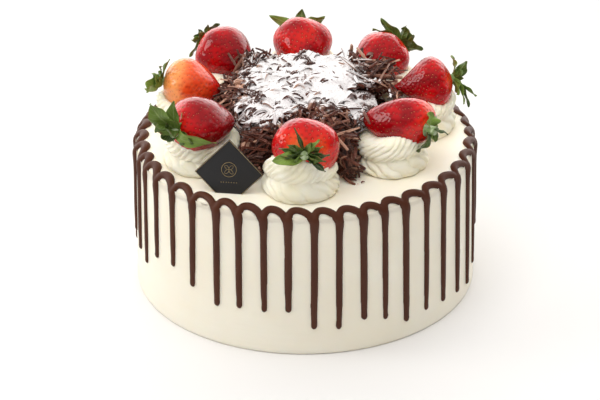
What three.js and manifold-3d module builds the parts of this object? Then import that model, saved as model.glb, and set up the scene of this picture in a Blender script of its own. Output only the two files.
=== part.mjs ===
// A round cream cake with a chocolate drip edge. Eight strawberries lie on piped rosettes
// round a heap of chocolate shavings, and a small square card stands in the cream.
// Millimetres, +Z up. The origin is the middle of the flat underside and the front faces -Y.
// A place round the cake is an angle in degrees from the front, growing towards +X.

import * as THREE from 'three';
import { mergeVertices } from 'three/addons/utils/BufferGeometryUtils.js';
import Module from 'manifold-3d';

const wasm = await Module();
wasm.setup();

// ---------------------------------------------------------------- driving dimensions

const GAP = 0.45; // left between two pieces that touch
const PRESS_GAP = 0.55; // left round a berry, whose facets slant
const FULL_TURN = 2 * Math.PI;

// The iced sponge
const CAKE_HEIGHT = 93;
const TOP_RADIUS = 101;
const BASE_RADIUS = 103;
const EDGE_RADIUS = 6.6;

// The chocolate: a piped line that arches over the top edge from drip to drip
const FRONT_DRIPS = [
  { angle: -83, tip: 33 },
  { angle: -74, tip: 29 },
  { angle: -67, tip: 26 },
  { angle: -58.5, tip: 37 },
  { angle: -49, tip: 39 },
  { angle: -39.5, tip: 32 },
  { angle: -30, tip: 25 },
  { angle: -22, tip: 27 },
  { angle: -13.5, tip: 27 },
  { angle: -5.5, tip: 28 },
  { angle: 3, tip: 17 },
  { angle: 11, tip: 16 },
  { angle: 19, tip: 20 },
  { angle: 26.5, tip: 17 },
  { angle: 34.5, tip: 11 },
  { angle: 43.5, tip: 13 },
  { angle: 52, tip: 12 },
  { angle: 61, tip: 10 },
  { angle: 70, tip: 7 },
  { angle: 79, tip: 13 },
];
const BACK_DRIP_COUNT = 22;
const BACK_TIP_LOW = 10;
const BACK_TIP_HIGH = 36;
const BACK_DRIP_SCATTER = 0.1; // how far a drip strays, as a share of the spacing
const BACK_DRIP_SEED = 5;
const CHOCOLATE_RISE = 1.9;
const NOTCH_RUN = 5.2; // upper edge of the chocolate where two arches meet, measured over the edge
const CREST_RUN = -0.4; // upper edge of an arch at its crest
const ARCH_WIDTH = 6.4;
const SHOULDER_RUN = 1.7; // slope from the edge of the chocolate up to its full thickness
const JOIN_RUN = 13; // where the two arches become one drip
const JOIN_SHOULDER = 2;
const ARCH_ROUNDNESS = 0.6;
const ARCH_COLUMNS = [0, 0.14, 0.38, 0.62, 0.86, 1]; // shares of the way from drip to drip
const RIM_INSET = 3; // how far inside the edge the flat top's own corners lie

// A drip's cross-sections from its notch to its tip. edge is its half-width, shoulder the share of
// that where it is thick. run counts from the notch or join, or back from the tip.
const DRIP_SECTIONS = [
  { from: 'notch', run: 0, edge: 0.9, shoulder: 1 },
  { from: 'notch', run: SHOULDER_RUN, edge: 1.7, shoulder: 0.5 },
  { from: 'join', run: -JOIN_SHOULDER, edge: 3, shoulder: 0.5 },
  { from: 'join', run: 0, edge: 3.1, shoulder: 0.45 },
  { from: 'join', run: 7, edge: 2.1, shoulder: 0.55 },
  { from: 'middle', run: 0, edge: 2.4, shoulder: 0.55 },
  { from: 'tip', run: 3, edge: 1.65, shoulder: 0.6 },
  { from: 'tip', run: 0, edge: 0.8, shoulder: 1 },
];
const BAND_ROWS = 4; // the sections that the arches share: edge, shoulder, shoulder, edge

// The piped rosettes
const ROSETTE_ABOVE_BERRY = 4; // peak of a rosette over its berry's middle, before the berry goes in
const ROSETTE_RIBS = 12; // an even number, so that a corner lies on each rib and each groove
const RIB_DEPTH = 0.075;
const RIB_TWIST = 0.8; // radians from foot to top

// The strawberries and their leaves
const BERRY_SEGMENTS = 12;
const BERRY_ROWS = 7;
const BERRY_SWELL = 1.5;
const BERRY_BLUNTNESS = 0.4;
const BERRY_FLATNESS = 0.87; // thickness from top to bottom as a share of the width
const LEAF_COUNT = 6;
const LEAF_LENGTH = 15;
const LEAF_SHORTEST = 0.75; // as a share of the length
const LEAF_LONGEST = 1.2;
const LEAF_THICKNESS = 0.8;
const LEAF_ROOT_RADIUS = 3.6;
const LEAF_SCATTER = 0.08; // how far a leaf strays, as a share of the spacing
const LEAF_SAG = 0.004; // the star's bend back over the berry, growing with the square of the distance
const LEAF_WAVE_LOW = -0.8; // a leaf's own bend at its tip
const LEAF_WAVE_HIGH = 2.4;
const LEAF_OVERHANG = 9.5; // how far the tip of a leaf that points down stands off the rosette

// The edge of a leaf after its root, going round: reach along it, half-width and share of its bend.
const LEAF_EDGE = [
  { reach: 0.5, side: -2.6, bend: 0.25 },
  { reach: 0.75, side: -2, bend: 0.6 },
  { reach: 1, side: 0, bend: 1 },
  { reach: 0.75, side: 2, bend: 0.6 },
  { reach: 0.5, side: 2.6, bend: 0.25 },
];
const STALK_RADIUS = 2.2;
const STALK_TAPER = 0.8;
const STALK_SIDES = 6;
const STALK_LENGTH = 3.5;

// One row for each rosette with its berry, from the front and on towards +X.
// out: rosette centre from the cake's middle. slide, push and height move the berry sideways, outwards
// and up from its rosette's middle. swing turns its calyx end sideways and rise lifts it, in degrees,
// and turn spins its leaves.
const PLACES = [
  [-2, 70, 23, 40, 39, 3, -0.5, 27.5, 0, 13, 10],
  [52, 64.5, 22.3, 43, 31, 2, 4, 28, 24, 2, 40],
  [97, 70, 22.5, 39, 34, 0, 0, 27, 0, 10, 0],
  [135, 67, 21, 38, 34, 2, -1, 25.5, 0, 10, 0],
  [181, 70, 22.5, 38, 37, 0, 0, 24.5, 0, 10, 0],
  [224, 70, 21, 40, 36, -2, 0, 27, 0, 15, 0],
  [261, 70, 21.5, 38, 34, 0, 0.5, 26.5, 8, 10, 5],
  [301.5, 70.5, 23, 40, 36, 5, 2, 27, -6, 6, 0],
].map(([angle, out, radius, length, width, slide, push, height, swing, rise, turn]) => (
  { angle, out, radius, length, width, slide, push, height, swing, rise, turn }
));

// The heap of shavings
const HEAP_HEIGHT = 31;
const HEAP_REACH = 69; // foot of the heap where it runs out between two rosettes
const HEAP_RIM = 45;
const HEAP_CLEARANCE = 2.4;
const HEAP_SEGMENTS = 40;
const HEAP_LUMP = 1.1;
const HEAP_WAVES = [5, 11]; // lumps round the heap, broad and fine
const SHAVING_COUNT = 62;
const SHAVING_LENGTH = 17;
const SHAVING_SPREAD = 0.35; // how far lengths and widths stray, as a share
const SHAVING_REACH = 0.95; // how near the foot of the heap a shaving lies
const SHAVING_WIDTH = 2.2;
const SHAVING_THICKNESS = 1.3;
const SHAVING_LIFT = 3;
const SHAVING_SEED = 11;

// Rows of the heap from foot to top. spread is how far a row follows the foot's outline instead of the
// round rim, and inset draws it in towards the middle.
const HEAP_ROWS = [
  { height: 0, spread: 1, inset: 1 },
  { height: 0.5, spread: 0.85, inset: 1 },
  { height: 0.82, spread: 0.45, inset: 1 },
  { height: 0.94, spread: 0.15, inset: 0.88 },
  { height: 1, spread: 0, inset: 0.5 },
];

// The card
const CARD_SIDE = 28.3;
const CARD_THICKNESS = 1;
const CARD_SUNK = 8;
const CARD_X = -44;
const CARD_Y = -77;
const CARD_TURN = -8;
const CARD_LEAN = 12;

// ---------------------------------------------------------------- small helpers

const radians = THREE.MathUtils.degToRad;

/** A repeatable draw of numbers between 0 and 1. */
function seededDraws(seed) {
  let state = seed;
  return () => {
    state = (state * 16807) % 2147483647;
    return state / 2147483647;
  };
}

/** A point at a place round the cake, at a distance from its middle. */
function roundCake(angle, distance, height) {
  return new THREE.Vector3(distance * Math.sin(angle), -distance * Math.cos(angle), height);
}

/** A profile of [radius, height] pairs turned about the Z axis. */
function turned(profile, segments) {
  const points = profile.map(([radius, height]) => new THREE.Vector2(radius, height));
  return new THREE.LatheGeometry(points, segments).rotateX(Math.PI / 2);
}

/** Moves every corner of a geometry to where the rule puts it. */
function reshape(geometry, rule) {
  const corners = geometry.attributes.position;
  const corner = new THREE.Vector3();
  for (let i = 0; i < corners.count; i += 1) {
    rule(corner.fromBufferAttribute(corners, i));
    corners.setXYZ(i, corner.x, corner.y, corner.z);
  }
  return geometry;
}

/** A geometry from triangles given by their corners. */
function closedSurface(triangles) {
  return new THREE.BufferGeometry().setFromPoints(triangles.flat());
}

/** A closed geometry as a solid that can be joined and cut. */
function toSolid(geometry) {
  const bare = geometry.clone();
  bare.deleteAttribute('normal');
  bare.deleteAttribute('uv');
  const merged = mergeVertices(bare);
  const index = Array.from(merged.index.array);
  const triangles = [];
  for (let i = 0; i < index.length; i += 3) {
    const triangle = index.slice(i, i + 3);
    if (new Set(triangle).size === 3) {
      triangles.push(...triangle);
    }
  }
  return new wasm.Manifold(new wasm.Mesh({
    numProp: 3,
    vertProperties: new Float32Array(merged.attributes.position.array),
    triVerts: new Uint32Array(triangles),
  }));
}

/** A solid as a geometry, without the scraps that a cut left loose. */
function toGeometry(solid) {
  const pieces = solid.decompose().sort((a, b) => b.volume() - a.volume());
  const { vertProperties, triVerts } = pieces[0].getMesh();
  const geometry = new THREE.BufferGeometry();
  geometry.setAttribute('position', new THREE.BufferAttribute(vertProperties, 3));
  geometry.setIndex(new THREE.BufferAttribute(triVerts, 1));
  geometry.computeVertexNormals();
  return geometry;
}

/** A named mesh with a material of its own. */
function piece(name, geometry, color, roughness) {
  const mesh = new THREE.Mesh(geometry, new THREE.MeshStandardMaterial({ color, roughness, metalness: 0 }));
  mesh.name = name;
  return mesh;
}

// ---------------------------------------------------------------- cake body with its chocolate

const FLAT_RADIUS = TOP_RADIUS - EDGE_RADIUS;
const SHOULDER_HEIGHT = CAKE_HEIGHT - EDGE_RADIUS;
const EDGE_RUN = EDGE_RADIUS * Math.PI / 2;
const FLARE = (BASE_RADIUS - TOP_RADIUS) / SHOULDER_HEIGHT;

/** A point on the icing: run is the way outwards over the edge and down, from where the edge starts. */
function icingPoint(angle, run, lift) {
  if (run <= 0) {
    return roundCake(angle, FLAT_RADIUS + run, CAKE_HEIGHT + lift);
  }
  if (run < EDGE_RUN) {
    const tilt = Math.PI / 2 - run / EDGE_RADIUS;
    const reach = EDGE_RADIUS + lift;
    return roundCake(angle, FLAT_RADIUS + reach * Math.cos(tilt), SHOULDER_HEIGHT + reach * Math.sin(tilt));
  }
  const drop = run - EDGE_RUN;
  return roundCake(angle, TOP_RADIUS + drop * FLARE + lift, SHOULDER_HEIGHT - drop);
}

/** The drips seen from the front, and evenly spaced ones round the back. */
function dripPlaces() {
  const draw = seededDraws(BACK_DRIP_SEED);
  const first = FRONT_DRIPS[0].angle + 360;
  const last = FRONT_DRIPS[FRONT_DRIPS.length - 1].angle;
  const spacing = (first - last) / (BACK_DRIP_COUNT + 1);
  const back = Array.from({ length: BACK_DRIP_COUNT }, (_, i) => ({
    angle: last + (i + 1 + BACK_DRIP_SCATTER * (2 * draw() - 1)) * spacing,
    tip: BACK_TIP_LOW + draw() * (BACK_TIP_HIGH - BACK_TIP_LOW),
  }));
  return FRONT_DRIPS.concat(back).map(({ angle, tip }) => ({ angle: radians(angle), tip }));
}

/** The corners of one drip: for each section its left edge, shoulders and right edge, on the icing. */
function dripCorners({ angle, tip }) {
  const foot = EDGE_RUN + SHOULDER_HEIGHT;
  const end = foot - tip;
  const starts = { notch: NOTCH_RUN, join: JOIN_RUN, middle: (JOIN_RUN + end) / 2, tip: end };
  const rows = DRIP_SECTIONS.map(({ from, run, edge, shoulder }, row) => {
    const along = from === 'tip' ? end - run : starts[from] + run;
    const inBand = row > 0 && row < BAND_ROWS - 1;
    return [-edge, -edge * shoulder, edge * shoulder, edge].map((side, column) => {
      const thick = inBand || (shoulder < 1 && (column === 1 || column === 2));
      return icingPoint(angle + side / TOP_RADIUS, along, thick ? CHOCOLATE_RISE : 0);
    });
  });
  const width = DRIP_SECTIONS[BAND_ROWS].edge / TOP_RADIUS;
  const sides = [angle - width, angle + width];
  return {
    rows,
    foot: sides.map((side) => icingPoint(side, foot, 0)),
    rim: sides.map((side) => icingPoint(side, -RIM_INSET, 0)),
  };
}

/** The corners of the arch from one drip to the next: a row for each edge and shoulder. */
function archCorners(from, to) {
  const crests = [0, SHOULDER_RUN, ARCH_WIDTH - SHOULDER_RUN, ARCH_WIDTH].map((step) => CREST_RUN + step);
  const starts = [NOTCH_RUN, NOTCH_RUN + SHOULDER_RUN, JOIN_RUN - JOIN_SHOULDER, JOIN_RUN];
  return crests.map((crest, row) => {
    const { edge } = DRIP_SECTIONS[row];
    const lift = row === 0 || row === BAND_ROWS - 1 ? 0 : CHOCOLATE_RISE;
    return ARCH_COLUMNS.map((share) => {
      const angle = THREE.MathUtils.lerp(from + edge / TOP_RADIUS, to - edge / TOP_RADIUS, share);
      const bow = Math.sin(Math.PI * share) ** ARCH_ROUNDNESS;
      return icingPoint(angle, THREE.MathUtils.lerp(starts[row], crest, bow), lift);
    });
  });
}

/** Triangles between two rows of corners of the same length, the second row lying below. */
function band(upper, lower) {
  return upper.slice(1).flatMap((corner, i) => [
    [upper[i], lower[i], corner],
    [corner, lower[i], lower[i + 1]],
  ]);
}

/** Triangles from one corner to a row of corners below it. */
function fan(corner, row) {
  return row.slice(1).map((next, i) => [corner, row[i], next]);
}

/** The iced sponge with its drips and arches, as one surface in strips from drip to drip. */
function icedSponge() {
  const places = dripPlaces();
  const drips = places.map(dripCorners);
  const topMiddle = new THREE.Vector3(0, 0, CAKE_HEIGHT);
  const footMiddle = new THREE.Vector3(0, 0, 0);
  const triangles = places.flatMap(({ angle }, i) => {
    const after = (i + 1) % places.length;
    const turn = places[after].angle > angle ? 0 : FULL_TURN;
    const here = drips[i];
    const next = drips[after];
    const arch = archCorners(angle, places[after].angle + turn);
    const [crest] = arch;
    const half = ARCH_COLUMNS.length / 2;
    const rightEdge = here.rows.slice(BAND_ROWS - 1).map((row) => row[3]).concat(here.foot[1]);
    const leftEdge = next.rows.slice(BAND_ROWS - 1).map((row) => row[0]).concat(next.foot[0]);
    return [
      ...here.rows.slice(1).flatMap((row, j) => band(here.rows[j], row)),
      ...arch.slice(1).flatMap((row, j) => band(arch[j], row)),
      ...fan(rightEdge[0], arch[BAND_ROWS - 1].slice(1).reverse()),
      ...rightEdge.slice(1).flatMap((corner, j) => (
        band([rightEdge[j], leftEdge[j]], [corner, leftEdge[j + 1]])
      )),
      ...band([here.rows.at(-1)[0], here.rows.at(-1)[3]], here.foot),
      ...band(here.rim, [here.rows[0][0], here.rows[0][3]]),
      ...fan(here.rim[1], crest.slice(0, half)),
      [here.rim[1], crest[half - 1], next.rim[0]],
      ...fan(next.rim[0], crest.slice(half - 1)),
      ...fan(topMiddle, [here.rim[0], here.rim[1], next.rim[0]]),
      ...fan(footMiddle, [next.foot[0], here.foot[1], here.foot[0]]),
    ];
  });
  return closedSurface(triangles);
}

/** The iced sponge with its chocolate, and the slot that the card stands in. */
function cakeBody(cardSlot) {
  return toGeometry(toSolid(icedSponge()).subtract(cardSlot));
}

// ---------------------------------------------------------------- rosettes, berries and leaves

/** Outline of a rosette as shares of its radius and height: two coils with a crease between. */
const ROSETTE_PROFILE = [
  [0, 0],
  [0.92, 0],
  [1, 0.2],
  [0.86, 0.42],
  [0.92, 0.6],
  [0.84, 0.84],
  [0, 1],
];

/** A ribbed swirl of cream, before a berry is pressed into it. */
function rosette({ radius, height }) {
  const peak = height + ROSETTE_ABOVE_BERRY;
  const profile = ROSETTE_PROFILE.map(([share, rise]) => [share * radius, rise * peak]);
  const geometry = turned(profile, ROSETTE_RIBS * 2);
  return reshape(geometry, (corner) => {
    const angle = Math.atan2(corner.y, corner.x);
    const rib = 1 + RIB_DEPTH * Math.cos(ROSETTE_RIBS * angle);
    const twist = RIB_TWIST * corner.z / peak;
    corner.x *= rib;
    corner.y *= rib;
    corner.applyAxisAngle(new THREE.Vector3(0, 0, 1), twist);
  });
}

/** Half-width of a berry at a share of its length from the tip, for a berry 1 wide. */
function berryShare(share) {
  return 0.5 * Math.sin(Math.PI * share ** BERRY_SWELL) ** BERRY_BLUNTNESS;
}

/** A berry along Z with its calyx end up, made larger all over by grow. */
function berry({ length, width }, grow = 0) {
  const profile = [];
  for (let row = 0; row <= BERRY_ROWS; row += 1) {
    const share = (1 - Math.cos(row / BERRY_ROWS * Math.PI)) / 2;
    const radius = row % BERRY_ROWS === 0 ? 0 : berryShare(share) * (width + 2 * grow);
    profile.push([radius, (share - 0.5) * (length + 2 * grow)]);
  }
  return turned(profile, BERRY_SEGMENTS).scale(1, BERRY_FLATNESS, 1);
}

/** The edge of a berry's star of leaves, leaf after leaf, each from the valley before it to its tip. */
function leafEdges({ turn }, root, draw) {
  const spacing = FULL_TURN / LEAF_COUNT;
  const onStar = (angle, distance, side, lift) => new THREE.Vector3(
    distance * Math.cos(angle) - side * Math.sin(angle),
    distance * Math.sin(angle) + side * Math.cos(angle),
    root - LEAF_SAG * distance ** 2 + lift,
  );
  return Array.from({ length: LEAF_COUNT }, (_, leaf) => {
    const angle = radians(turn) + (leaf + LEAF_SCATTER * (2 * draw() - 1)) * spacing;
    const length = LEAF_LENGTH * THREE.MathUtils.lerp(LEAF_SHORTEST, LEAF_LONGEST, draw());
    const down = Math.max(-Math.sin(angle), 0);
    const bent = THREE.MathUtils.lerp(LEAF_WAVE_LOW, LEAF_WAVE_HIGH, draw()) + LEAF_OVERHANG * down ** 2;
    const valley = onStar(radians(turn) + (leaf - 0.5) * spacing, LEAF_ROOT_RADIUS, 0, 0);
    const edge = LEAF_EDGE.map(({ reach, side, bend }) => onStar(angle, reach * length, side, bend * bent));
    return [valley, ...edge];
  });
}

/** The leaves of one berry, a thin wavy star with a stalk stub, beyond the calyx end. */
function calyx(place, seed) {
  const root = place.length / 2 + GAP + LEAF_THICKNESS;
  const edges = leafEdges(place, root, seededDraws(seed));
  const middle = new THREE.Vector3(0, 0, root);
  const rim = edges.flat();
  const face = edges.flatMap(([valley, rightIn, rightOut, tip, leftOut, leftIn], leaf) => {
    const [nextValley] = edges[(leaf + 1) % LEAF_COUNT];
    return [
      [middle, valley, nextValley],
      [valley, rightIn, nextValley],
      [nextValley, rightIn, leftIn],
      [rightIn, rightOut, leftIn],
      [leftIn, rightOut, leftOut],
      [rightOut, tip, leftOut],
    ];
  });
  const behind = (corner) => corner.clone().setZ(corner.z - LEAF_THICKNESS);
  const back = face.map(([a, b, c]) => [behind(a), behind(c), behind(b)]);
  const walls = rim.flatMap((corner, i) => {
    const next = rim[(i + 1) % rim.length];
    return band([corner, next], [behind(corner), behind(next)]);
  });
  const star = toSolid(closedSurface([...face, ...back, ...walls]));
  const cut = STALK_RADIUS * STALK_TAPER;
  const stalk = turned([[0, 0], [STALK_RADIUS, 0], [cut, STALK_LENGTH], [0, STALK_LENGTH]], STALK_SIDES);
  stalk.translate(0, 0, root - LEAF_THICKNESS / 2);
  return toGeometry(star.add(toSolid(stalk)));
}

/** The group of one place, standing on the cake's top with its outer side along -Y. */
function placeGroup({ angle, out }) {
  const group = new THREE.Group();
  group.position.copy(roundCake(radians(angle), out, CAKE_HEIGHT + GAP));
  group.rotation.z = radians(angle);
  return group;
}

/** The group that a berry and its leaves share inside their place. */
function berryGroup({ slide, push, height, swing, rise }) {
  const group = new THREE.Group();
  group.position.set(slide, -push, height);
  group.rotation.set(Math.PI / 2 - radians(rise), 0, radians(swing), 'ZXY');
  return group;
}

// ---------------------------------------------------------------- heap of shavings

/** How far out the foot of the heap reaches in a direction, stopping short of the rosettes. */
function heapReach(angle) {
  return PLACES.reduce((reach, place) => {
    const clear = place.radius * (1 + RIB_DEPTH) + HEAP_CLEARANCE;
    const turn = angle - radians(place.angle);
    const aside = place.out * Math.sin(turn);
    if (Math.cos(turn) < 0 || Math.abs(aside) > clear) {
      return reach;
    }
    return Math.min(reach, place.out * Math.cos(turn) - Math.sqrt(clear ** 2 - aside ** 2));
  }, HEAP_REACH);
}

/** The heap's outline in a direction, from its foot to near its top: distances and heights. */
function heapOutline(angle) {
  const reach = heapReach(angle);
  return HEAP_ROWS.map(({ height, spread, inset }) => {
    const [broad, fine] = HEAP_WAVES.map((wave) => Math.sin(wave * (angle + height)));
    const lump = HEAP_LUMP * height * (broad + fine);
    return {
      distance: inset * THREE.MathUtils.lerp(HEAP_RIM + lump, reach, spread),
      height: HEAP_HEIGHT * height + lump * (1 - spread),
    };
  });
}

/** A point on the heap's surface, or null outside its foot. */
function heapPoint(angle, distance) {
  const outline = heapOutline(angle).concat({ distance: 0, height: HEAP_HEIGHT });
  const inner = outline.findIndex((row) => row.distance <= distance);
  if (inner < 1) {
    return null;
  }
  const [low, high] = [outline[inner - 1], outline[inner]];
  const share = (low.distance - distance) / (low.distance - high.distance);
  const height = THREE.MathUtils.lerp(low.height, high.height, share);
  return roundCake(angle, distance, CAKE_HEIGHT + GAP + height);
}

/** The bare heap. */
function heapCore() {
  const angles = Array.from({ length: HEAP_SEGMENTS + 1 }, (_, i) => i / HEAP_SEGMENTS * FULL_TURN);
  const outlines = angles.map(heapOutline);
  const rows = HEAP_ROWS.map((_, row) => outlines.map((outline, i) => (
    roundCake(angles[i], outline[row].distance, CAKE_HEIGHT + GAP + outline[row].height)
  )));
  const top = new THREE.Vector3(0, 0, CAKE_HEIGHT + GAP + HEAP_HEIGHT);
  const foot = new THREE.Vector3(0, 0, CAKE_HEIGHT + GAP);
  return toSolid(closedSurface([
    ...rows.slice(1).flatMap((row, i) => band(row, rows[i])),
    ...fan(top, rows.at(-1)),
    ...fan(foot, rows[0].slice().reverse()),
  ]));
}

/** One shaving with a three-cornered section, lying along the heap and lifted at one end. */
function shaving(draw) {
  const angle = draw() * FULL_TURN;
  const distance = heapReach(angle) * SHAVING_REACH * Math.sqrt(draw());
  const middle = roundCake(angle, distance, 0);
  const heading = draw() * Math.PI;
  const halfLength = SHAVING_LENGTH / 2 * (1 + SHAVING_SPREAD * (2 * draw() - 1));
  const [start, end] = [-halfLength, halfLength].map((step) => {
    const x = middle.x + step * Math.cos(heading);
    const y = middle.y + step * Math.sin(heading);
    return heapPoint(Math.atan2(x, -y), Math.hypot(x, y));
  });
  const lift = SHAVING_LIFT * draw();
  const width = SHAVING_WIDTH * (1 + SHAVING_SPREAD * (2 * draw() - 1));
  if (!start || !end) {
    return null;
  }
  end.z += lift;
  const section = new THREE.Shape();
  section.moveTo(-width / 2, -SHAVING_THICKNESS / 2).lineTo(width / 2, 0).lineTo(0, SHAVING_THICKNESS);
  const depth = start.distanceTo(end);
  const rod = new THREE.ExtrudeGeometry(section, { depth, bevelEnabled: false });
  const carrier = new THREE.Object3D();
  carrier.up.set(0, 0, 1);
  carrier.position.copy(start);
  carrier.lookAt(end);
  carrier.updateMatrix();
  return toSolid(rod.applyMatrix4(carrier.matrix));
}

/** The heap with its shavings; one that would cross a berry or a rosette is left out. */
function shavingsHeap(toppings) {
  const draw = seededDraws(SHAVING_SEED);
  const shavings = Array.from({ length: SHAVING_COUNT }, () => shaving(draw));
  const clear = shavings.filter((one) => (
    one && toppings.every((topping) => one.intersect(topping).isEmpty())
  ));
  return toGeometry(clear.reduce((heap, one) => heap.add(one), heapCore()));
}

// ---------------------------------------------------------------- card

/** A square card that stands on one corner, larger all over by grow. */
function card(grow = 0) {
  const half = CARD_SIDE / 2 + grow;
  const outline = new THREE.Shape();
  outline.moveTo(-half, -half).lineTo(half, -half).lineTo(half, half).lineTo(-half, half);
  const depth = CARD_THICKNESS + 2 * grow;
  const geometry = new THREE.ExtrudeGeometry(outline, { depth, bevelEnabled: false });
  geometry.translate(0, 0, -depth / 2);
  geometry.rotateZ(Math.PI / 4);
  return geometry.rotateX(Math.PI / 2);
}

/** The group that the card stands in, at its foot in the cream. */
function cardGroup() {
  const group = new THREE.Group();
  const halfDiagonal = CARD_SIDE / Math.SQRT2;
  group.position.set(CARD_X, CARD_Y, CAKE_HEIGHT);
  group.rotation.set(-radians(CARD_LEAN), 0, radians(CARD_TURN), 'ZXY');
  group.translateZ(halfDiagonal - CARD_SUNK);
  return group;
}

// ---------------------------------------------------------------- the whole cake

/** A geometry where its group puts it, as a solid. */
function solidIn(group, geometry) {
  group.updateWorldMatrix(true, false);
  return toSolid(geometry.applyMatrix4(group.matrixWorld));
}

function buildCake() {
  const cake = new THREE.Group();
  const toppings = [];
  PLACES.forEach((place, i) => {
    const number = i + 1;
    const seat = placeGroup(place);
    const bed = berryGroup(place);
    seat.add(bed);
    cake.add(seat);
    bed.updateMatrix();
    const pressed = toSolid(berry(place, PRESS_GAP).applyMatrix4(bed.matrix));
    const swirl = toGeometry(toSolid(rosette(place)).subtract(pressed));
    seat.add(piece(`rosette_${number}`, swirl, 0xf1ebdd, 0.55));
    bed.add(piece(`strawberry_${number}`, berry(place), 0xb3141a, 0.3));
    bed.add(piece(`calyx_${number}`, calyx(place, number + 20), 0x55702f, 0.6));
    const clear = ROSETTE_PROFILE.map(([share, rise]) => (
      [share * (place.radius * (1 + RIB_DEPTH) + GAP), rise * (place.height + ROSETTE_ABOVE_BERRY + GAP)]
    ));
    toppings.push(solidIn(seat, turned(clear, ROSETTE_RIBS)), solidIn(bed, berry(place, GAP)));
  });
  const stand = cardGroup();
  stand.add(piece('plaque', card(), 0x232325, 0.6));
  cake.add(stand);
  cake.add(piece('shavings_heap', shavingsHeap(toppings), 0x4f2a1c, 0.6));
  cake.add(piece('cake_body', cakeBody(solidIn(stand, card(GAP))), 0xece4d2, 0.6));
  return cake;
}

export default buildCake();
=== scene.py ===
"""Looks of the chocolate drip cake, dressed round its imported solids.

Sizes are in millimetres and become metres when a mesh is handed over. A place round the cake is an
angle in degrees from the front, growing towards +X.
"""

import logging
import math
from dataclasses import dataclass
from enum import Enum
from typing import Callable, Iterable, Iterator, Sequence

import bpy
import numpy as np
from mathutils import Matrix, Vector, noise
from mathutils.bvhtree import BVHTree
from mathutils.kdtree import KDTree

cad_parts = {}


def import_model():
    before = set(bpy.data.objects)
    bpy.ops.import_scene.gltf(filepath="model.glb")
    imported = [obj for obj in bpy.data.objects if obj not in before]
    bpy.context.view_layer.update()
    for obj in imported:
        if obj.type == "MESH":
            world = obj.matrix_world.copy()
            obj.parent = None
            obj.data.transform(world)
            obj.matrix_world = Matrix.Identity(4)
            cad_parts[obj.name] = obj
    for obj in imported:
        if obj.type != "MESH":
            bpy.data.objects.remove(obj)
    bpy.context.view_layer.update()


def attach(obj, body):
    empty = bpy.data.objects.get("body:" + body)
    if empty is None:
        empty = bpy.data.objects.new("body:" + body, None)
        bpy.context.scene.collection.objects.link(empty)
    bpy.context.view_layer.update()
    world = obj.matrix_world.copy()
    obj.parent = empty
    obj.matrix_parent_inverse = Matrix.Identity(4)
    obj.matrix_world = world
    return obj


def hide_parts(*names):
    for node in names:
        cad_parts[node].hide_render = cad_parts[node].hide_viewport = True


log = logging.getLogger("drip_cake")

MM = 0.001
FULL_TURN = 2 * math.pi
GOLDEN_ANGLE = math.pi * (3 - math.sqrt(5))
CREAM_GAP = 0.45

Piece = bpy.types.Object
Material = bpy.types.Material
Node = bpy.types.Node
Socket = bpy.types.NodeSocket
Way = np.ndarray | Vector
Line = list[tuple[float, float, float]]
Solids = dict[int, list[BVHTree]]


# ------------------------------------------------------------------ the bench: moves that every piece uses


def hold(piece: Piece) -> None:
    """Selects one piece alone and makes it active."""
    bpy.ops.object.select_all(action="DESELECT")
    piece.select_set(True)
    bpy.context.view_layer.objects.active = piece


def take(name: str) -> Piece:
    """Names the piece that was just added.

    Args:
        name: its name.

    Returns:
        The piece, held alone.
    """
    piece = bpy.context.active_object
    piece.name = name
    piece.data.name = name
    hold(piece)
    return piece


def ball(name: str, segments: int, rings: int) -> Piece:
    """Adds a sphere of radius 1.

    Blender lists a sphere's faces in another order in each run, which can tip a search that ends at the
    seam of two faces. So they are listed anew, in the order of their corners' numbers.

    Args:
        name: its name.
        segments: its sides round the middle line.
        rings: its sides from pole to pole.

    Returns:
        The sphere, held alone.
    """
    bpy.ops.mesh.primitive_uv_sphere_add(segments=segments, ring_count=rings, radius=MM)
    piece = take(name)
    points = [tuple(vertex.co) for vertex in piece.data.vertices]
    faces = sorted(tuple(face.vertices) for face in piece.data.polygons)
    piece.data.clear_geometry()
    piece.data.from_pydata(points, [], faces)
    return piece


def corners(piece: Piece) -> np.ndarray:
    """The corners of a mesh in millimetres, one row each."""
    flat = np.empty(len(piece.data.vertices) * 3, np.float32)
    piece.data.vertices.foreach_get("co", flat)
    return flat.reshape(-1, 3).astype(float) / MM


def set_corners(piece: Piece, points: np.ndarray) -> None:
    """Moves the corners of a mesh to points in millimetres, one row each."""
    piece.data.vertices.foreach_set("co", (points * MM).astype(np.float32).ravel())
    piece.data.update()


def reshape(piece: Piece, rule: Callable[[np.ndarray], np.ndarray]) -> None:
    """Moves every corner of a mesh.

    Args:
        piece: the mesh.
        rule: gives the new corners for the old ones, both in millimetres.
    """
    set_corners(piece, rule(corners(piece)))


def work_in(piece: Piece, kind: str = "EDGE") -> None:
    """Opens a piece for editing with nothing selected."""
    hold(piece)
    bpy.ops.object.mode_set(mode="EDIT")
    bpy.ops.mesh.select_mode(type=kind)
    bpy.ops.mesh.select_all(action="DESELECT")
    bpy.ops.object.mode_set(mode="OBJECT")


def pick_edges(piece: Piece, wanted: Callable[[Vector, Vector], bool]) -> None:
    """Selects the edges whose two ends, in millimetres, pass a test, and opens the piece.

    Args:
        piece: the mesh.
        wanted: the test.
    """
    work_in(piece, "EDGE")
    points = [vertex.co / MM for vertex in piece.data.vertices]
    for edge in piece.data.edges:
        edge.select = wanted(points[edge.vertices[0]], points[edge.vertices[1]])
    bpy.ops.object.mode_set(mode="EDIT")


def pick_faces(piece: Piece, wanted: Callable[[bpy.types.MeshPolygon], bool]) -> None:
    """Selects the faces that pass a test, and opens the piece.

    Args:
        piece: the mesh.
        wanted: the test.
    """
    work_in(piece, "FACE")
    for face in piece.data.polygons:
        face.select = wanted(face)
    bpy.ops.object.mode_set(mode="EDIT")


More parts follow.
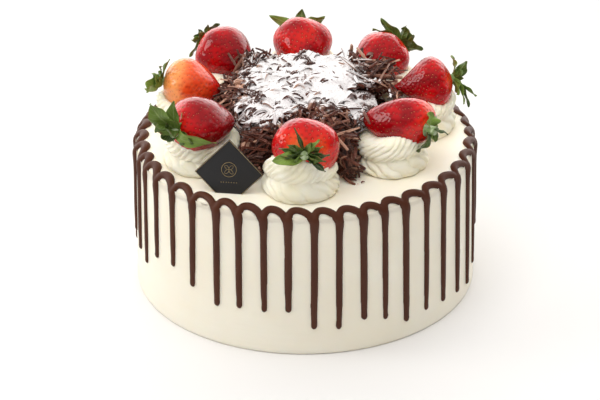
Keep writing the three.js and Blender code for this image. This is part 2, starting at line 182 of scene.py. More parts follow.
def close() -> None:
    """Closes the piece that is open for editing."""
    bpy.ops.object.mode_set(mode="OBJECT")


def finish_with(piece: Piece, kind: str, **settings: object) -> None:
    """Adds a modifier and applies it.

    Args:
        piece: the mesh.
        kind: the modifier's type.
        **settings: its values.
    """
    hold(piece)
    modifier = piece.modifiers.new(kind.title(), kind)
    for name, value in settings.items():
        setattr(modifier, name, value)
    bpy.ops.object.modifier_apply(modifier=modifier.name)


def join(name: str, pieces: Sequence[Piece]) -> Piece:
    """Joins meshes into one.

    Args:
        name: the name of the whole.
        pieces: the meshes.

    Returns:
        The one mesh.
    """
    hold(pieces[0])
    for piece in pieces:
        piece.select_set(True)
    bpy.ops.object.join()
    return take(name)


def copies(
    name: str, model: Piece, frames: np.ndarray, places: np.ndarray,
    shares: np.ndarray | None = None,
) -> Piece:
    """Many copies of one small model as one mesh. The model itself is removed.

    Args:
        name: the name of the mesh.
        model: the small model, in millimetres round its own origin.
        frames: for each copy its three axes as the columns of a matrix, which also scale it.
        places: for each copy where its origin goes.
        shares: for each copy its tone from 0 to 1, at random where none are given.

    Returns:
        The mesh of all copies, with the tone of each copy in "grain".
    """
    shape = corners(model)
    faces = [tuple(face.vertices) for face in model.data.polygons]
    points = np.einsum("nij,vj->nvi", frames, shape) + places[:, None, :]
    every = [tuple(i + n * len(shape) for i in face) for n in range(len(places)) for face in faces]
    mesh = bpy.data.meshes.new(name)
    mesh.from_pydata((points.reshape(-1, 3) * MM).tolist(), [], every)
    piece = bpy.data.objects.new(name, mesh)
    bpy.context.scene.collection.objects.link(piece)
    if shares is None:
        shares = np.random.default_rng(len(places)).random(len(places))
    store(piece, "grain", np.repeat(shares, len(shape)))
    bpy.data.objects.remove(model)
    hold(piece)
    return piece


def store(piece: Piece, name: str, values: np.ndarray) -> None:
    """Keeps one number for each corner of a mesh, for its material to read."""
    layer = piece.data.attributes.new(name, "FLOAT", "POINT")
    layer.data.foreach_set("value", values.astype(np.float32))


def smooth(piece: Piece, angle: float = 180) -> None:
    """Shades a piece smooth across edges blunter than an angle in degrees."""
    hold(piece)
    if angle >= 180:
        bpy.ops.object.shade_smooth()
    else:
        bpy.ops.object.shade_smooth_by_angle(angle=math.radians(angle))


def triangles(piece: Piece) -> int:
    """How many triangles a mesh comes to."""
    return sum(len(face.vertices) - 2 for face in piece.data.polygons)


def hand_over(piece: Piece, finish: Material, stands_for: Iterable[str] = ()) -> Piece:
    """Dresses a finished piece and puts it on the cake.

    Args:
        piece: the mesh.
        finish: its material.
        stands_for: the CAD nodes that it replaces.

    Returns:
        The piece.
    """
    piece.data.materials.clear()
    piece.data.materials.append(finish)
    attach(piece, "root")
    if stands_for:
        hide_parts(*stands_for)
    log.info("%s: %d triangles, %s", piece.name, triangles(piece), finish.name)
    return piece


def ripple(points: np.ndarray, size: float, seed: float = 0.0) -> np.ndarray:
    """Smooth noise between about -1 and 1 at points in millimetres.

    Args:
        points: one row each.
        size: the width of its lumps in millimetres.
        seed: moves the noise to another place.

    Returns:
        One number for each point.
    """
    shift = Vector((seed, -seed, 2.3 * seed))
    return np.array([noise.noise(Vector(point) / size + shift) for point in points])


def carry(points: np.ndarray, frame: np.ndarray) -> np.ndarray:
    """Points of a frame, one row each, brought to where the frame's 4 by 4 matrix puts them."""
    return points @ frame[:3, :3].T + frame[:3, 3]


def units(ways: np.ndarray) -> np.ndarray:
    """Ways, one row each, at the length 1."""
    return ways / np.linalg.norm(ways, axis=1)[:, None]


def turned(degrees: float, axis: str) -> Matrix:
    """A turn about an axis, as a 4 by 4 matrix."""
    return Matrix.Rotation(math.radians(degrees), 4, axis)


def rolled(side: Way, up: Way, turn: float) -> tuple[Way, Way]:
    """Two ways at right angles turned in their plane, by an angle in radians."""
    return side * math.cos(turn) + up * math.sin(turn), up * math.cos(turn) - side * math.sin(turn)


def skin_of(piece: Piece) -> BVHTree:
    """The faces of a piece, for rays to hit."""
    return BVHTree.FromObject(piece, bpy.context.evaluated_depsgraph_get())


# ------------------------------------------------------------------ the cake's form


@dataclass(frozen=True)
class IcedForm:
    """The iced sponge's outline, on which everything else lies."""

    height: float = 93.0
    top_radius: float = 102.2
    base_radius: float = 104.2
    edge_radius: float = 6.6

    @property
    def flat_radius(self) -> float:
        """Where the flat top ends and its rounded edge starts."""
        return self.top_radius - self.edge_radius

    @property
    def edge_run(self) -> float:
        """The way over the rounded edge."""
        return self.edge_radius * math.pi / 2

    @property
    def foot_run(self) -> float:
        """The way over the edge and down to the foot."""
        return self.edge_run + self.height - self.edge_radius

    def on_icing(self, angle: np.ndarray, run: np.ndarray, lift: np.ndarray) -> np.ndarray:
        """Points on the icing.

        Args:
            angle: places round the cake in radians.
            run: the way outwards over the edge and down, from where the edge starts.
            lift: the height over the icing.

        Returns:
            One row for each point.
        """
        tilt = np.clip(run, 0, self.edge_run) / self.edge_radius
        drop = np.maximum(run - self.edge_run, 0)
        flare = (self.base_radius - self.top_radius) / (self.height - self.edge_radius)
        reach = self.edge_radius + lift
        distance = self.flat_radius + np.minimum(run, 0) + reach * np.sin(tilt) + drop * flare
        height = self.height - self.edge_radius + reach * np.cos(tilt) - drop
        return np.stack([distance * np.sin(angle), -distance * np.cos(angle), height], axis=-1)


def round_cake(angle: float, distance: float, height: float) -> Vector:
    """A point at a place round the cake, at a distance from its middle."""
    turn = math.radians(angle)
    return Vector((distance * math.sin(turn), -distance * math.cos(turn), height))


class Gloss(Enum):
    """How thick the glaze lies on a strawberry: how far it fills the pits."""

    THICK = 0.35
    EVEN = 0.7
    THIN = 1.0


@dataclass(frozen=True)
class Leaf:
    """One leaf. Its tip is counted from the calyx's middle: sideways, up and outwards."""

    tip: tuple[float, float, float]
    width: float = 5.5
    bow: float = 2.5
    roll: float = 0.0
    fresh: float | None = None


@dataclass(frozen=True)
class Place:
    """One rosette with its strawberry."""

    number: int
    angle: float
    out: float
    radius: float
    length: float
    width: float
    slide: float
    push: float
    height: float
    swing: float
    rise: float
    ripeness: float
    patchiness: float
    blush: float
    gloss: Gloss
    lip: float
    bend: tuple[float, float]
    calyx_turn: float
    leaves: tuple[Leaf, ...]
    bluntness: float = 0.42
    droop: float = 0.1
    shoulder: float = 1.5
    ridge: float = 0.0

    @property
    def seat(self) -> Matrix:
        """Where the rosette stands."""
        middle = Matrix.Translation(round_cake(self.angle, self.out, IcedForm.height))
        return middle @ turned(self.angle, "Z")

    @property
    def bed(self) -> Matrix:
        """Where the strawberry lies: its middle, with the calyx end along +Z."""
        middle = Matrix.Translation((self.slide, -self.push, self.height + CREAM_GAP))
        return self.seat @ middle @ turned(self.swing, "Z") @ turned(90 - self.rise, "X")


PLACES = (
    Place(
        1, -2, 70, 23, 40, 39, 3, -0.5, 26.4, 0, 13, 0.84, 0.32, 0.1, Gloss.EVEN, 29.0, (0.0, 0.0), 0.0,
        (
            Leaf((-5.2, 16.6, 5.7), 3.2, 2.0, 0.9, 0.1), Leaf((-13.4, 5.8, 1.5), 5.0, 5.5, -0.7, 0.3),
            Leaf((-18.5, -3.2, 6.0), 9.0, 5.0, 0.5, 0.9), Leaf((-14.0, 0.5, 6.0), 5.0, 4.0, -0.9, 0.45),
            Leaf((9.4, 9.2, 5.4), 4.8, 3.0, -1.0, 0.8), Leaf((10.5, 5.0, 2.5), 6.0, 4.0, 0.8, 0.5),
            Leaf((14.9, 0.6, 4.0), 6.5, 5.0, 0.7, 0.15), Leaf((12.4, -8.8, 6.2), 5.2, 5.5, -1.0, 0.05),
            Leaf((7.5, -1.5, 6.5), 5.5, 4.5, 0.8, 0.35), Leaf((-6.5, -1.5, 6.5), 5.5, 4.0, -0.8, 0.6),
            Leaf((-9.5, 6.5, 4.5), 5.5, 3.0, 0.9, 0.2), Leaf((-10.5, 0.5, 5.5), 6.0, 5.0, -0.6, 0.1),
            Leaf((12.0, -2.8, 5.6), 5.0, 5.0, 0.4, 0.25), Leaf((4.5, 6.5, 4.5), 5.0, 3.5, -0.5, 0.55),
        ),
        droop=0.3,
    ),
    Place(
        2, 52, 64.5, 22.3, 43, 31, 2, 4, 28, 24, 2, 0.84, 0.36, 0.1, Gloss.EVEN, 24.5, (0.0, -1.5), -25.0,
        (
            Leaf((3.2, 8.7, -1.8), 10.5, 1.5, 0.0, 1.1), Leaf((-1.1, -14.7, -6.7), 9.5, 3.0, 0.0, 0.2),
            Leaf((-3.3, 1.5, 11.3), 5.0, 4.0, 0.6, 0.1), Leaf((13.1, 5.8, 1.2), 6.0, 2.0),
            Leaf((9.0, -9.0, 2.0), 6.0, 2.5),
        ),
        bluntness=0.34,
        droop=0.14,
    ),
    Place(
        3, 97, 70, 22.5, 39, 34, 0, 0, 27, 0, 10, 0.92, 0.3, 0.1, Gloss.THIN, 24.0, (0.0, 2.0), 0.0,
        (
            Leaf((5.8, 12.4, 3.2), 9.0, 2.5), Leaf((-3.9, 10.2, 8.8), 7.0, 2.5, 0.5),
            Leaf((-7.6, -12.6, 9.1), 6.0, 2.5), Leaf((-12.9, -15.1, 5.8), 6.0, 2.5, 0.4),
            Leaf((-14.4, -11.3, 3.8), 6.0, 2.5), Leaf((-12.8, -4.6, 0.1), 8.0, 2.5, -0.5),
            Leaf((-7.6, 4.4, 5.7), 7.5, 2.0), Leaf((10.0, -6.0, 1.0), 7.0, 2.5),
        ),
        bluntness=0.62,
        shoulder=2.2,
        ridge=0.04,
    ),
    Place(
        4, 135, 67, 21, 38, 34, 2, -1, 25.5, 0, 10, 0.8, 0.35, 0.1, Gloss.EVEN, 22.5, (0.0, 1.0), 0.0,
        (
            Leaf((11.7, 14.3, -8.6), 10.5, 3.0), Leaf((7.9, 16.7, -5.5), 9.0, 3.0, 0.4),
            Leaf((-12.7, 9.5, 2.0), 9.5, 2.5), Leaf((-3.9, 14.4, 1.8), 9.5, 2.5, -0.3),
            Leaf((-11.3, -5.3, 6.8), 8.0, 2.5), Leaf((10.0, -6.0, 1.0), 7.0, 2.5),
        ),
    ),
    Place(
        5, 181, 70, 22.5, 38, 37, 0, 0, 24.5, 0, 10, 0.7, 0.35, 0.1, Gloss.EVEN, 22.0, (0.0, 0.0), 0.0,
        (
            Leaf((21.1, 5.8, 3.2), 7.5, 3.0, 0.4), Leaf((-0.5, 10.5, 6.4), 7.5, 2.0),
            Leaf((-13.1, 8.5, -1.6), 9.0, 3.0), Leaf((-12.0, -4.0, 3.0), 7.0, 2.5),
            Leaf((2.0, -10.0, 4.0), 7.0, 2.5), Leaf((12.0, -6.0, 2.0), 7.0, 2.5),
        ),
    ),
    Place(
        6, 224, 70, 21, 40, 36, -2, 0, 27, 0, 15, 0.95, 0.3, 0.1, Gloss.THICK, 22.5, (0.0, 2.0), 0.0,
        (
            Leaf((16.4, -5.2, -3.7), 6.0, 1.5), Leaf((8.7, 8.5, -3.5), 5.5, 1.5),
            Leaf((12.0, 2.0, 0.3), 5.5, 1.5), Leaf((-11.0, 7.0, 2.0), 6.0, 2.5),
            Leaf((-12.0, -6.0, 3.0), 6.0, 2.5), Leaf((1.0, -12.0, 5.0), 6.0, 2.5),
        ),
        bluntness=0.5,
        ridge=0.07,
    ),
    Place(
        7, 261, 70, 21.5, 35, 34, 0, -1.5, 26.5, 8, 10, 0.06, 0.14, 0.62, Gloss.THICK, 22.5, (0.0, 0.0), 0.0,
        (
            Leaf((17.4, 0.4, 6.4), 12.0, 3.5, 0.0, 1.0), Leaf((12.4, 7.6, 4.7), 9.0, 2.5, 0.4, 0.8),
            Leaf((9.6, 8.2, 1.0), 7.5, 2.5), Leaf((6.1, 17.8, -3.5), 4.5, 2.5),
            Leaf((-11.0, 5.0, 2.0), 7.0, 2.5), Leaf((-8.0, -10.0, 5.0), 7.0, 2.5),
        ),
    ),
    Place(
        8, 301.5, 70.5, 23, 40, 36, 5, 2, 27, -6, 6, 1.0, 0.1, 0.1, Gloss.THICK, 21.5, (0.0, 0.0), 20.0,
        (
            Leaf((-7.2, 16.5, 15.5), 14.0, 4.0, 0.3, 0.6), Leaf((0.8, 7.0, 13.0), 13.0, 4.0, -0.2, 0.3),
            Leaf((-5.1, 17.8, 2.0), 8.5, 2.5, 0.5, 0.5), Leaf((-6.8, 11.2, -6.1), 6.0, 2.5, 0.0, 0.6),
            Leaf((12.0, -4.8, -19.1), 9.5, 15.0, 0.0, 0.9), Leaf((10.4, -1.4, -6.4), 9.0, 3.0, 0.0, 0.3),
            Leaf((-4.0, -1.0, 8.0), 12.0, 3.5, 0.2, 0.15),
        ),
    ),
)


# ------------------------------------------------------------------ finishes


def linear(red: int, green: int, blue: int) -> tuple[float, float, float, float]:
    """A screen colour of 0 to 255 a channel as the light that it stands for."""
    shares = [channel / 255 for channel in (red, green, blue)]
    light = [s / 12.92 if s <= 0.04045 else ((s + 0.055) / 1.055) ** 2.4 for s in shares]
    return (*light, 1.0)


class Desk:
    """Places nodes in a tree and wires them up."""

    def __init__(self, tree: bpy.types.NodeTree) -> None:
        """Takes the tree to work in."""
        self.tree = tree

    def feed(self, node: Node, feeds: dict[str | int, object]) -> Node:
        """Feeds a node.

        Args:
            node: the node.
            feeds: for its inputs by name or number, a value or another node's output.

        Returns:
            The node.
        """
        for name, value in feeds.items():
            if isinstance(value, Socket):
                self.tree.links.new(value, node.inputs[name])
            else:
                node.inputs[name].default_value = value
        return node

    def put(self, kind: str, feeds: dict[str | int, object] | None = None, **settings: object) -> Node:
        """Adds a node.

        Args:
            kind: the node's type.
            feeds: what its inputs get.
            **settings: its own properties.

        Returns:
            The node.
        """
        node = self.tree.nodes.new(kind)
        for name, value in settings.items():
            setattr(node, name, value)
        return self.feed(node, feeds or {})

    def noise(
        self, where: Socket, scale: float | Socket, detail: float = 3.0,
        rough: float = 0.55,
    ) -> Socket:
        """A noise pattern's factor, scale in lumps per metre."""
        feeds = {"Vector": where, "Scale": scale, "Detail": detail, "Roughness": rough}
        return self.put("ShaderNodeTexNoise", feeds).outputs["Fac"]

    def spread(
        self, value: Socket, low: float, high: float, to_low: float = 0, to_high: float = 1
    ) -> Socket:
        """A value's range from low to high stretched to another, and held at its ends."""
        feeds = {0: value, 1: low, 2: high, 3: to_low, 4: to_high}
        return self.put("ShaderNodeMapRange", feeds, interpolation_type="SMOOTHSTEP").outputs[0]

    def sum(self, operation: str, one: object, other: object = 0.0) -> Socket:
        """One sum of two values."""
        return self.put("ShaderNodeMath", {0: one, 1: other}, operation=operation).outputs[0]

    def times(self, one: object, other: object) -> Socket:
        """One value times another."""
        return self.sum("MULTIPLY", one, other)

    def plus(self, one: object, other: object) -> Socket:
        """One value and another."""
        return self.sum("ADD", one, other)

    def minus(self, one: object, other: object) -> Socket:
        """One value less another."""
        return self.sum("SUBTRACT", one, other)

    def blend(self, share: object, one: object, other: object) -> Socket:
        """A colour between two."""
        feeds = {"Factor": share, 6: one, 7: other}
        return self.put("ShaderNodeMix", feeds, data_type="RGBA").outputs[2]

    def attribute(self, name: str) -> Socket:
        """A number kept at the corners of the mesh."""
        return self.put("ShaderNodeAttribute", None, attribute_name=name).outputs["Fac"]

    def bump(self, height: Socket, strength: float, distance: float) -> Socket:
        """A normal that follows a height, distance in metres."""
        feeds = {"Height": height, "Strength": strength, "Distance": distance}
        return self.put("ShaderNodeBump", feeds).outputs["Normal"]


class Effect:
    """A shader node group: an effect that more than one finish uses."""

    def __init__(self, name: str, takes: dict[str, tuple[str, object]], gives: dict[str, str]) -> None:
        """Makes the group.

        Args:
            name: its name.
            takes: for each input its type and first value.
            gives: for each output its type.
        """
        self.tree = bpy.data.node_groups.new(name, "ShaderNodeTree")
        for title, (kind, value) in takes.items():
            socket = self.tree.interface.new_socket(title, in_out="INPUT", socket_type=kind)
            if value is not None:
                socket.default_value = value
        for title, kind in gives.items():
            self.tree.interface.new_socket(title, in_out="OUTPUT", socket_type=kind)
        self.desk = Desk(self.tree)
        self.takes = self.tree.nodes.new("NodeGroupInput").outputs
        self.gives = self.tree.nodes.new("NodeGroupOutput").inputs

    def give(self, title: str, value: Socket) -> None:
        """Wires an output."""
        self.tree.links.new(value, self.gives[title])

    def use(self, desk: Desk, feeds: dict[str, object]) -> Node:
        """Places the group in a material."""
        return desk.put("ShaderNodeGroup", feeds, node_tree=self.tree)


FLOAT = "NodeSocketFloat"
COLOUR = "NodeSocketColor"
VECTOR = "NodeSocketVector"


def mottle_effect() -> Effect:
    """Soft patches of a second colour, with a fine height of their own."""
    effect = Effect(
        "soft mottle",
        {
            "Where": (VECTOR, None), "Patches": (FLOAT, 40.0), "Grain": (FLOAT, 600.0),
            "Colour": (COLOUR, None), "Patch colour": (COLOUR, None), "Share": (FLOAT, 0.5),
        },
        {"Colour": COLOUR, "Height": FLOAT},
    )
    desk, takes = effect.desk, effect.takes
    patches = desk.noise(takes["Where"], takes["Patches"], 3.0, 0.5)
    grain = desk.noise(takes["Where"], takes["Grain"], 2.0, 0.5)
    share = desk.times(desk.spread(patches, 0.35, 0.7), takes["Share"])
    effect.give("Colour", desk.blend(share, takes["Colour"], takes["Patch colour"]))
    effect.give("Height", desk.plus(grain, patches))
    return effect


def dusting_effect() -> Effect:
    """Where fine sugar lies: on what faces up, where enough of it fell."""
    takes = {"Where": (VECTOR, None), "Facing": (VECTOR, None), "Fall": (FLOAT, 0.0)}
    effect = Effect("sugar dusting", takes, {"Share": FLOAT})
    desk, takes = effect.desk, effect.takes
    up = desk.put("ShaderNodeSeparateXYZ", {0: takes["Facing"]}).outputs["Z"]
    clumps = desk.times(desk.noise(takes["Where"], 420.0, 3.0, 0.6), 0.5)
    broad = desk.times(desk.noise(takes["Where"], 90.0, 2.0, 0.5), 0.6)
    level = desk.plus(takes["Fall"], desk.plus(clumps, broad))
    effect.give("Share", desk.times(desk.spread(level, 0.93, 1.1), desk.spread(up, 0.2, 0.55)))
    return effect


class Finishes:
    """Every material of the cake."""

    def __init__(self) -> None:
        """Makes the shared effects and then the materials."""
        self.mottle = mottle_effect()
        self.dusting = dusting_effect()
        self.icing = self.make_icing()
        self.cream = self.make_cream()
        self.chocolate = self.make_chocolate()
        self.shavings = self.make_shavings()
        self.sugar = self.make_sugar()
        self.berry = self.make_berry()
        self.seed = self.make_seed()
        self.leaf = self.make_leaf()
        self.stalk = self.make_stalk()
        self.card = self.make_card()
        self.gold = self.make_gold()
        self.floor = self.make_floor()

    @staticmethod
    def start(name: str, **sockets: object) -> tuple[Material, Desk, Node]:
        """A new material.

        Args:
            name: its name.
            **sockets: values of the Principled shader's own sockets, with _ for a space.

        Returns:
            The material, a desk on its nodes and its shader.
        """
        material = bpy.data.materials.new(name)
        material.use_nodes = True
        desk = Desk(material.node_tree)
        shader = material.node_tree.nodes["Principled BSDF"]
        for socket, value in sockets.items():
            shader.inputs[socket.replace("_", " ")].default_value = value
        return material, desk, shader

    @staticmethod
    def place(desk: Desk) -> Socket:
        """Object coordinates."""
        return desk.put("ShaderNodeTexCoord").outputs["Object"]

    def make_icing(self) -> Material:
        """Smooth satin icing with the faint level marks of a scraper."""
        material, desk, shader = self.start(
            "iced cream", Roughness=0.42, IOR=1.45, Subsurface_Weight=0.25, Subsurface_Scale=0.004,
            Subsurface_Radius=(1.0, 0.8, 0.55),
        )
        where = self.place(desk)
        mottle = self.mottle.use(desk, {
            "Where": where, "Patches": 25.0, "Grain": 900.0, "Share": 0.5,
            "Colour": linear(250, 243, 226), "Patch colour": linear(246, 236, 214),
        })
        level = desk.put("ShaderNodeMapping", {"Vector": where, "Scale": (1, 1, 16)}).outputs[0]
        marks = desk.times(desk.noise(level, 18.0, 3.0, 0.5), 3.0)
        height = desk.plus(marks, desk.times(mottle.outputs["Height"], 0.3))
        desk.feed(shader, {"Base Color": mottle.outputs["Colour"], "Normal": desk.bump(height, 0.12, 0.0006)})
        return material

    def make_cream(self) -> Material:
        """Soft whipped cream."""
        material, desk, shader = self.start(
            "whipped cream", Roughness=0.5, IOR=1.42, Subsurface_Weight=0.3, Subsurface_Scale=0.0025,
            Subsurface_Radius=(1.0, 0.85, 0.6),
        )
        where = self.place(desk)
        mottle = self.mottle.use(desk, {
            "Where": where, "Patches": 70.0, "Grain": 500.0, "Share": 0.6,
            "Colour": linear(255, 249, 229), "Patch colour": linear(252, 241, 208),
        })
        relief = desk.bump(mottle.outputs["Height"], 0.25, 0.0008)
        desk.feed(shader, {"Base Color": mottle.outputs["Colour"], "Normal": relief})
        return material

    def make_chocolate(self) -> Material:
        """Set dark chocolate with a satin sheen."""
        material, desk, shader = self.start("drip chocolate", Roughness=0.5, Specular_IOR_Level=0.25)
        where = self.place(desk)
        mottle = self.mottle.use(desk, {
            "Where": where, "Patches": 60.0, "Grain": 300.0, "Share": 0.6,
            "Colour": linear(73, 35, 18), "Patch colour": linear(82, 43, 25),
        })
        relief = desk.bump(mottle.outputs["Height"], 0.12, 0.0008)
        desk.feed(shader, {"Base Color": mottle.outputs["Colour"], "Normal": relief})
        return material

    def make_shavings(self) -> Material:
        """Shaved chocolate in random dark to mid tones, with painted highlight as a pale tone on some
        shavings and as pale streaks, and icing sugar on what faces up.
        """
        material, desk, shader = self.start("shaved chocolate", IOR=1.5)
        where = self.place(desk)
        grain = desk.attribute("grain")
        tone = desk.blend(desk.spread(grain, 0.1, 0.7), linear(54, 22, 14), linear(104, 52, 36))
        # Painted highlight: the palest shavings and the pale streaks stand for bright light on the shavings.
        tone = desk.blend(desk.spread(grain, 0.7, 1.0), tone, linear(204, 160, 134))
        painted_highlight_streak = desk.spread(desk.noise(where, 900.0, 2.0), 0.45, 0.7)
        tone = desk.blend(desk.times(painted_highlight_streak, 0.3), tone, linear(170, 118, 94))
        facing = desk.put("ShaderNodeNewGeometry").outputs["Normal"]
        fall = desk.attribute("sugared")
        dust = self.dusting.use(desk, {"Where": where, "Facing": facing, "Fall": fall}).outputs["Share"]
        height = desk.plus(desk.noise(where, 1500.0, 2.0), dust)
        desk.feed(shader, {
            "Base Color": desk.blend(dust, tone, linear(243, 241, 240)),
            "Roughness": desk.spread(dust, 0, 1, 0.42, 0.95),
            "Normal": desk.bump(height, 0.35, 0.0004),
        })
        return material

    def make_sugar(self) -> Material:
        """Icing sugar."""
        material, desk, shader = self.start("icing sugar", Roughness=0.95, IOR=1.35)
        where = self.place(desk)
        grain = desk.noise(where, 1800.0, 3.0, 0.7)
        shade = desk.blend(desk.spread(grain, 0.3, 0.7), linear(228, 224, 223), linear(246, 243, 242))
        desk.feed(shader, {"Base Color": shade, "Normal": desk.bump(grain, 0.5, 0.0004)})
        return material

    def make_berry(self) -> Material:
        """Strawberry flesh from pale orange to deep red, with painted shade in the seed pits, under clear
        glaze.
        """
        material, desk, shader = self.start(
            "glazed strawberry", Roughness=0.45, IOR=1.4, Specular_IOR_Level=0.06, Coat_Weight=1.0,
            Coat_Roughness=0.04, Coat_IOR=1.38, Subsurface_Weight=0.08, Subsurface_Scale=0.002,
            Subsurface_Radius=(1.0, 0.2, 0.1),
        )
        where = self.place(desk)
        fine = desk.minus(desk.noise(where, 260.0, 3.0, 0.6), 0.5)
        ripe = desk.plus(desk.attribute("ripe"), desk.times(fine, 0.22))
        ramp = desk.put("ShaderNodeValToRGB", {"Fac": ripe})
        stops = (
            (0.0, linear(244, 152, 84)), (0.25, linear(238, 86, 36)), (0.5, linear(222, 34, 18)),
            (0.75, linear(192, 6, 14)), (1.0, linear(144, 0, 10)),
        )
        ramp.color_ramp.elements.remove(ramp.color_ramp.elements[1])
        for i, (position, colour) in enumerate(stops):
            stop = ramp.color_ramp.elements[0] if i == 0 else ramp.color_ramp.elements.new(position)
            stop.position, stop.color = position, colour
        pit = desk.attribute("pit")
        # Painted shade: the flesh in each seed pit is darkened towards deep red, more on riper berries.
        shade = desk.times(pit, desk.spread(ripe, 0.1, 0.7, 0.05, 0.55))
        colour = desk.blend(shade, ramp.outputs["Color"], linear(104, 2, 8))
        relief = desk.bump(desk.minus(1.0, pit), 0.6, 0.0006)
        desk.feed(shader, {"Base Color": colour, "Normal": relief})
        return material

    def make_seed(self) -> Material:
        """Strawberry seeds, from straw to orange red."""
        material, desk, shader = self.start(
            "strawberry seed", Roughness=0.4, Specular_IOR_Level=0.2, Coat_Weight=1.0, Coat_Roughness=0.05,
            Coat_IOR=1.36,
        )
        grain = desk.attribute("grain")
        tone = desk.blend(desk.spread(grain, 0.2, 0.9), linear(172, 52, 30), linear(212, 122, 66))
        desk.feed(shader, {"Base Color": tone})
        return material

    def make_leaf(self) -> Material:
        """Strawberry leaf with a pale midrib, side veins and dry edges."""
        material, desk, shader = self.start("strawberry leaf", Roughness=0.38, IOR=1.4)
        where = self.place(desk)
        across, along, tone = (desk.attribute(name) for name in ("across", "along", "tone"))
        deep, fresh = linear(34, 54, 20), linear(124, 150, 62)
        patch = desk.noise(where, 160.0, 3.0)
        share = desk.plus(tone, desk.times(desk.minus(patch, 0.5), 0.6))
        colour = desk.blend(share, deep, fresh)
        side = desk.sum("ABSOLUTE", across)
        rib = desk.spread(side, 0.0, 0.14, 1.0, 0.0)
        swept = desk.minus(desk.times(along, 7.0), desk.times(side, 2.2))
        off_vein = desk.sum("ABSOLUTE", desk.minus(desk.sum("FRACT", swept), 0.5))
        vein = desk.sum("MAXIMUM", rib, desk.times(desk.spread(off_vein, 0.38, 0.5), 0.5))
        colour = desk.blend(desk.times(vein, 0.5), colour, linear(160, 176, 110))
        dry = desk.times(desk.spread(side, 0.75, 1.0), desk.spread(patch, 0.5, 0.65))
        colour = desk.blend(dry, colour, linear(120, 92, 50))
        desk.feed(shader, {"Base Color": colour, "Normal": desk.bump(vein, 0.5, 0.0005)})
        return material

    def make_stalk(self) -> Material:
        """The cut stalk and the pale middle of the calyx."""
        material, desk, shader = self.start("cut stalk", Roughness=0.5)
        tone = desk.noise(self.place(desk), 250.0, 3.0)
        colour = desk.blend(desk.spread(tone, 0.35, 0.65), linear(120, 146, 84), linear(196, 208, 172))
        desk.feed(shader, {"Base Color": colour, "Normal": desk.bump(tone, 0.3, 0.0005)})
        return material

    def make_card(self) -> Material:
        """Matte black card with a fine tooth."""
        material, desk, shader = self.start("black card", IOR=1.45)
        where = self.place(desk)
        tooth = desk.noise(where, 2600.0, 2.0)
        desk.feed(shader, {
            "Base Color": desk.blend(desk.noise(where, 60.0), linear(28, 27, 28), linear(37, 36, 37)),
            "Roughness": desk.spread(tooth, 0, 1, 0.5, 0.68),
            "Normal": desk.bump(tooth, 0.15, 0.0002),
        })
        return material

    def make_gold(self) -> Material:
        """Gold foil."""
        material, desk, shader = self.start("gold foil", Metallic=0.9)
        tooth = desk.noise(self.place(desk), 900.0, 2.0)
        tone = desk.blend(tooth, linear(168, 142, 96), linear(206, 184, 140))
        desk.feed(shader, {"Base Color": tone, "Roughness": desk.spread(tooth, 0, 1, 0.3, 0.5)})
        return material

    def make_floor(self) -> Material:
        """The plain pale floor."""
        return self.start("pale floor", Roughness=0.7, Base_Color=(0.82, 0.805, 0.79, 1))[0]


# ------------------------------------------------------------------ iced sponge and chocolate


@dataclass
class IcedSponge:
    """The sponge under its coat of smooth icing."""

    form: IcedForm
    sides: int = 240
    edge_steps: int = 8
    side_steps: int = 30
    foot_round: float = 1.4
    top_rings: int = 14
    top_ring: float = 6.4
    unevenness: float = 0.35
    wave_width: float = 45.0

    def build(self) -> Piece:
        """A cylinder with a rounded top edge, flared to its foot and made a little uneven."""
        form = self.form
        bpy.ops.mesh.primitive_cylinder_add(
            vertices=self.sides, radius=form.top_radius * MM, depth=form.height * MM,
            location=(0, 0, form.height / 2 * MM),
        )
        piece = take("iced_sponge")
        bpy.ops.object.transform_apply(location=True, rotation=False, scale=False)
        pick_edges(piece, lambda one, other: abs(one.z - other.z) > 1)
        bpy.ops.mesh.subdivide(number_cuts=self.side_steps)
        close()
        pick_edges(piece, lambda one, other: min(one.z, other.z) > form.height - 0.01)
        bpy.ops.mesh.bevel(offset=form.edge_radius * MM, segments=self.edge_steps, clamp_overlap=False)
        close()
        pick_edges(piece, lambda one, other: max(one.z, other.z) < 0.01)
        bpy.ops.mesh.bevel(offset=self.foot_round * MM, segments=3, clamp_overlap=False)
        close()
        pick_faces(piece, lambda face: face.normal.z > 0.9 and len(face.vertices) > 4)
        for _ in range(self.top_rings):
            bpy.ops.mesh.inset(thickness=self.top_ring * MM)
        close()
        reshape(piece, self.flare)
        wave = bpy.data.textures.new("icing unevenness", "CLOUDS")
        wave.noise_scale = self.wave_width * MM
        finish_with(piece, "DISPLACE", texture=wave, strength=self.unevenness * MM, mid_level=0.5)
        reshape(piece, lambda points: np.column_stack([points[:, :2], np.maximum(points[:, 2], 0)]))
        smooth(piece, 40)
        return piece

    def flare(self, points: np.ndarray) -> np.ndarray:
        """Widens the side towards the foot."""
        form = self.form
        drop = np.clip(form.height - form.edge_radius - points[:, 2], 0, None)
        wider = 1 + (form.base_radius / form.top_radius - 1) * drop / (form.height - form.edge_radius)
        return points * np.column_stack([wider, wider, np.ones(len(points))])

    def dress(self, finishes: Finishes) -> None:
        """Gives the icing its finish."""
        hand_over(self.build(), finishes.icing, ["cake_body"])


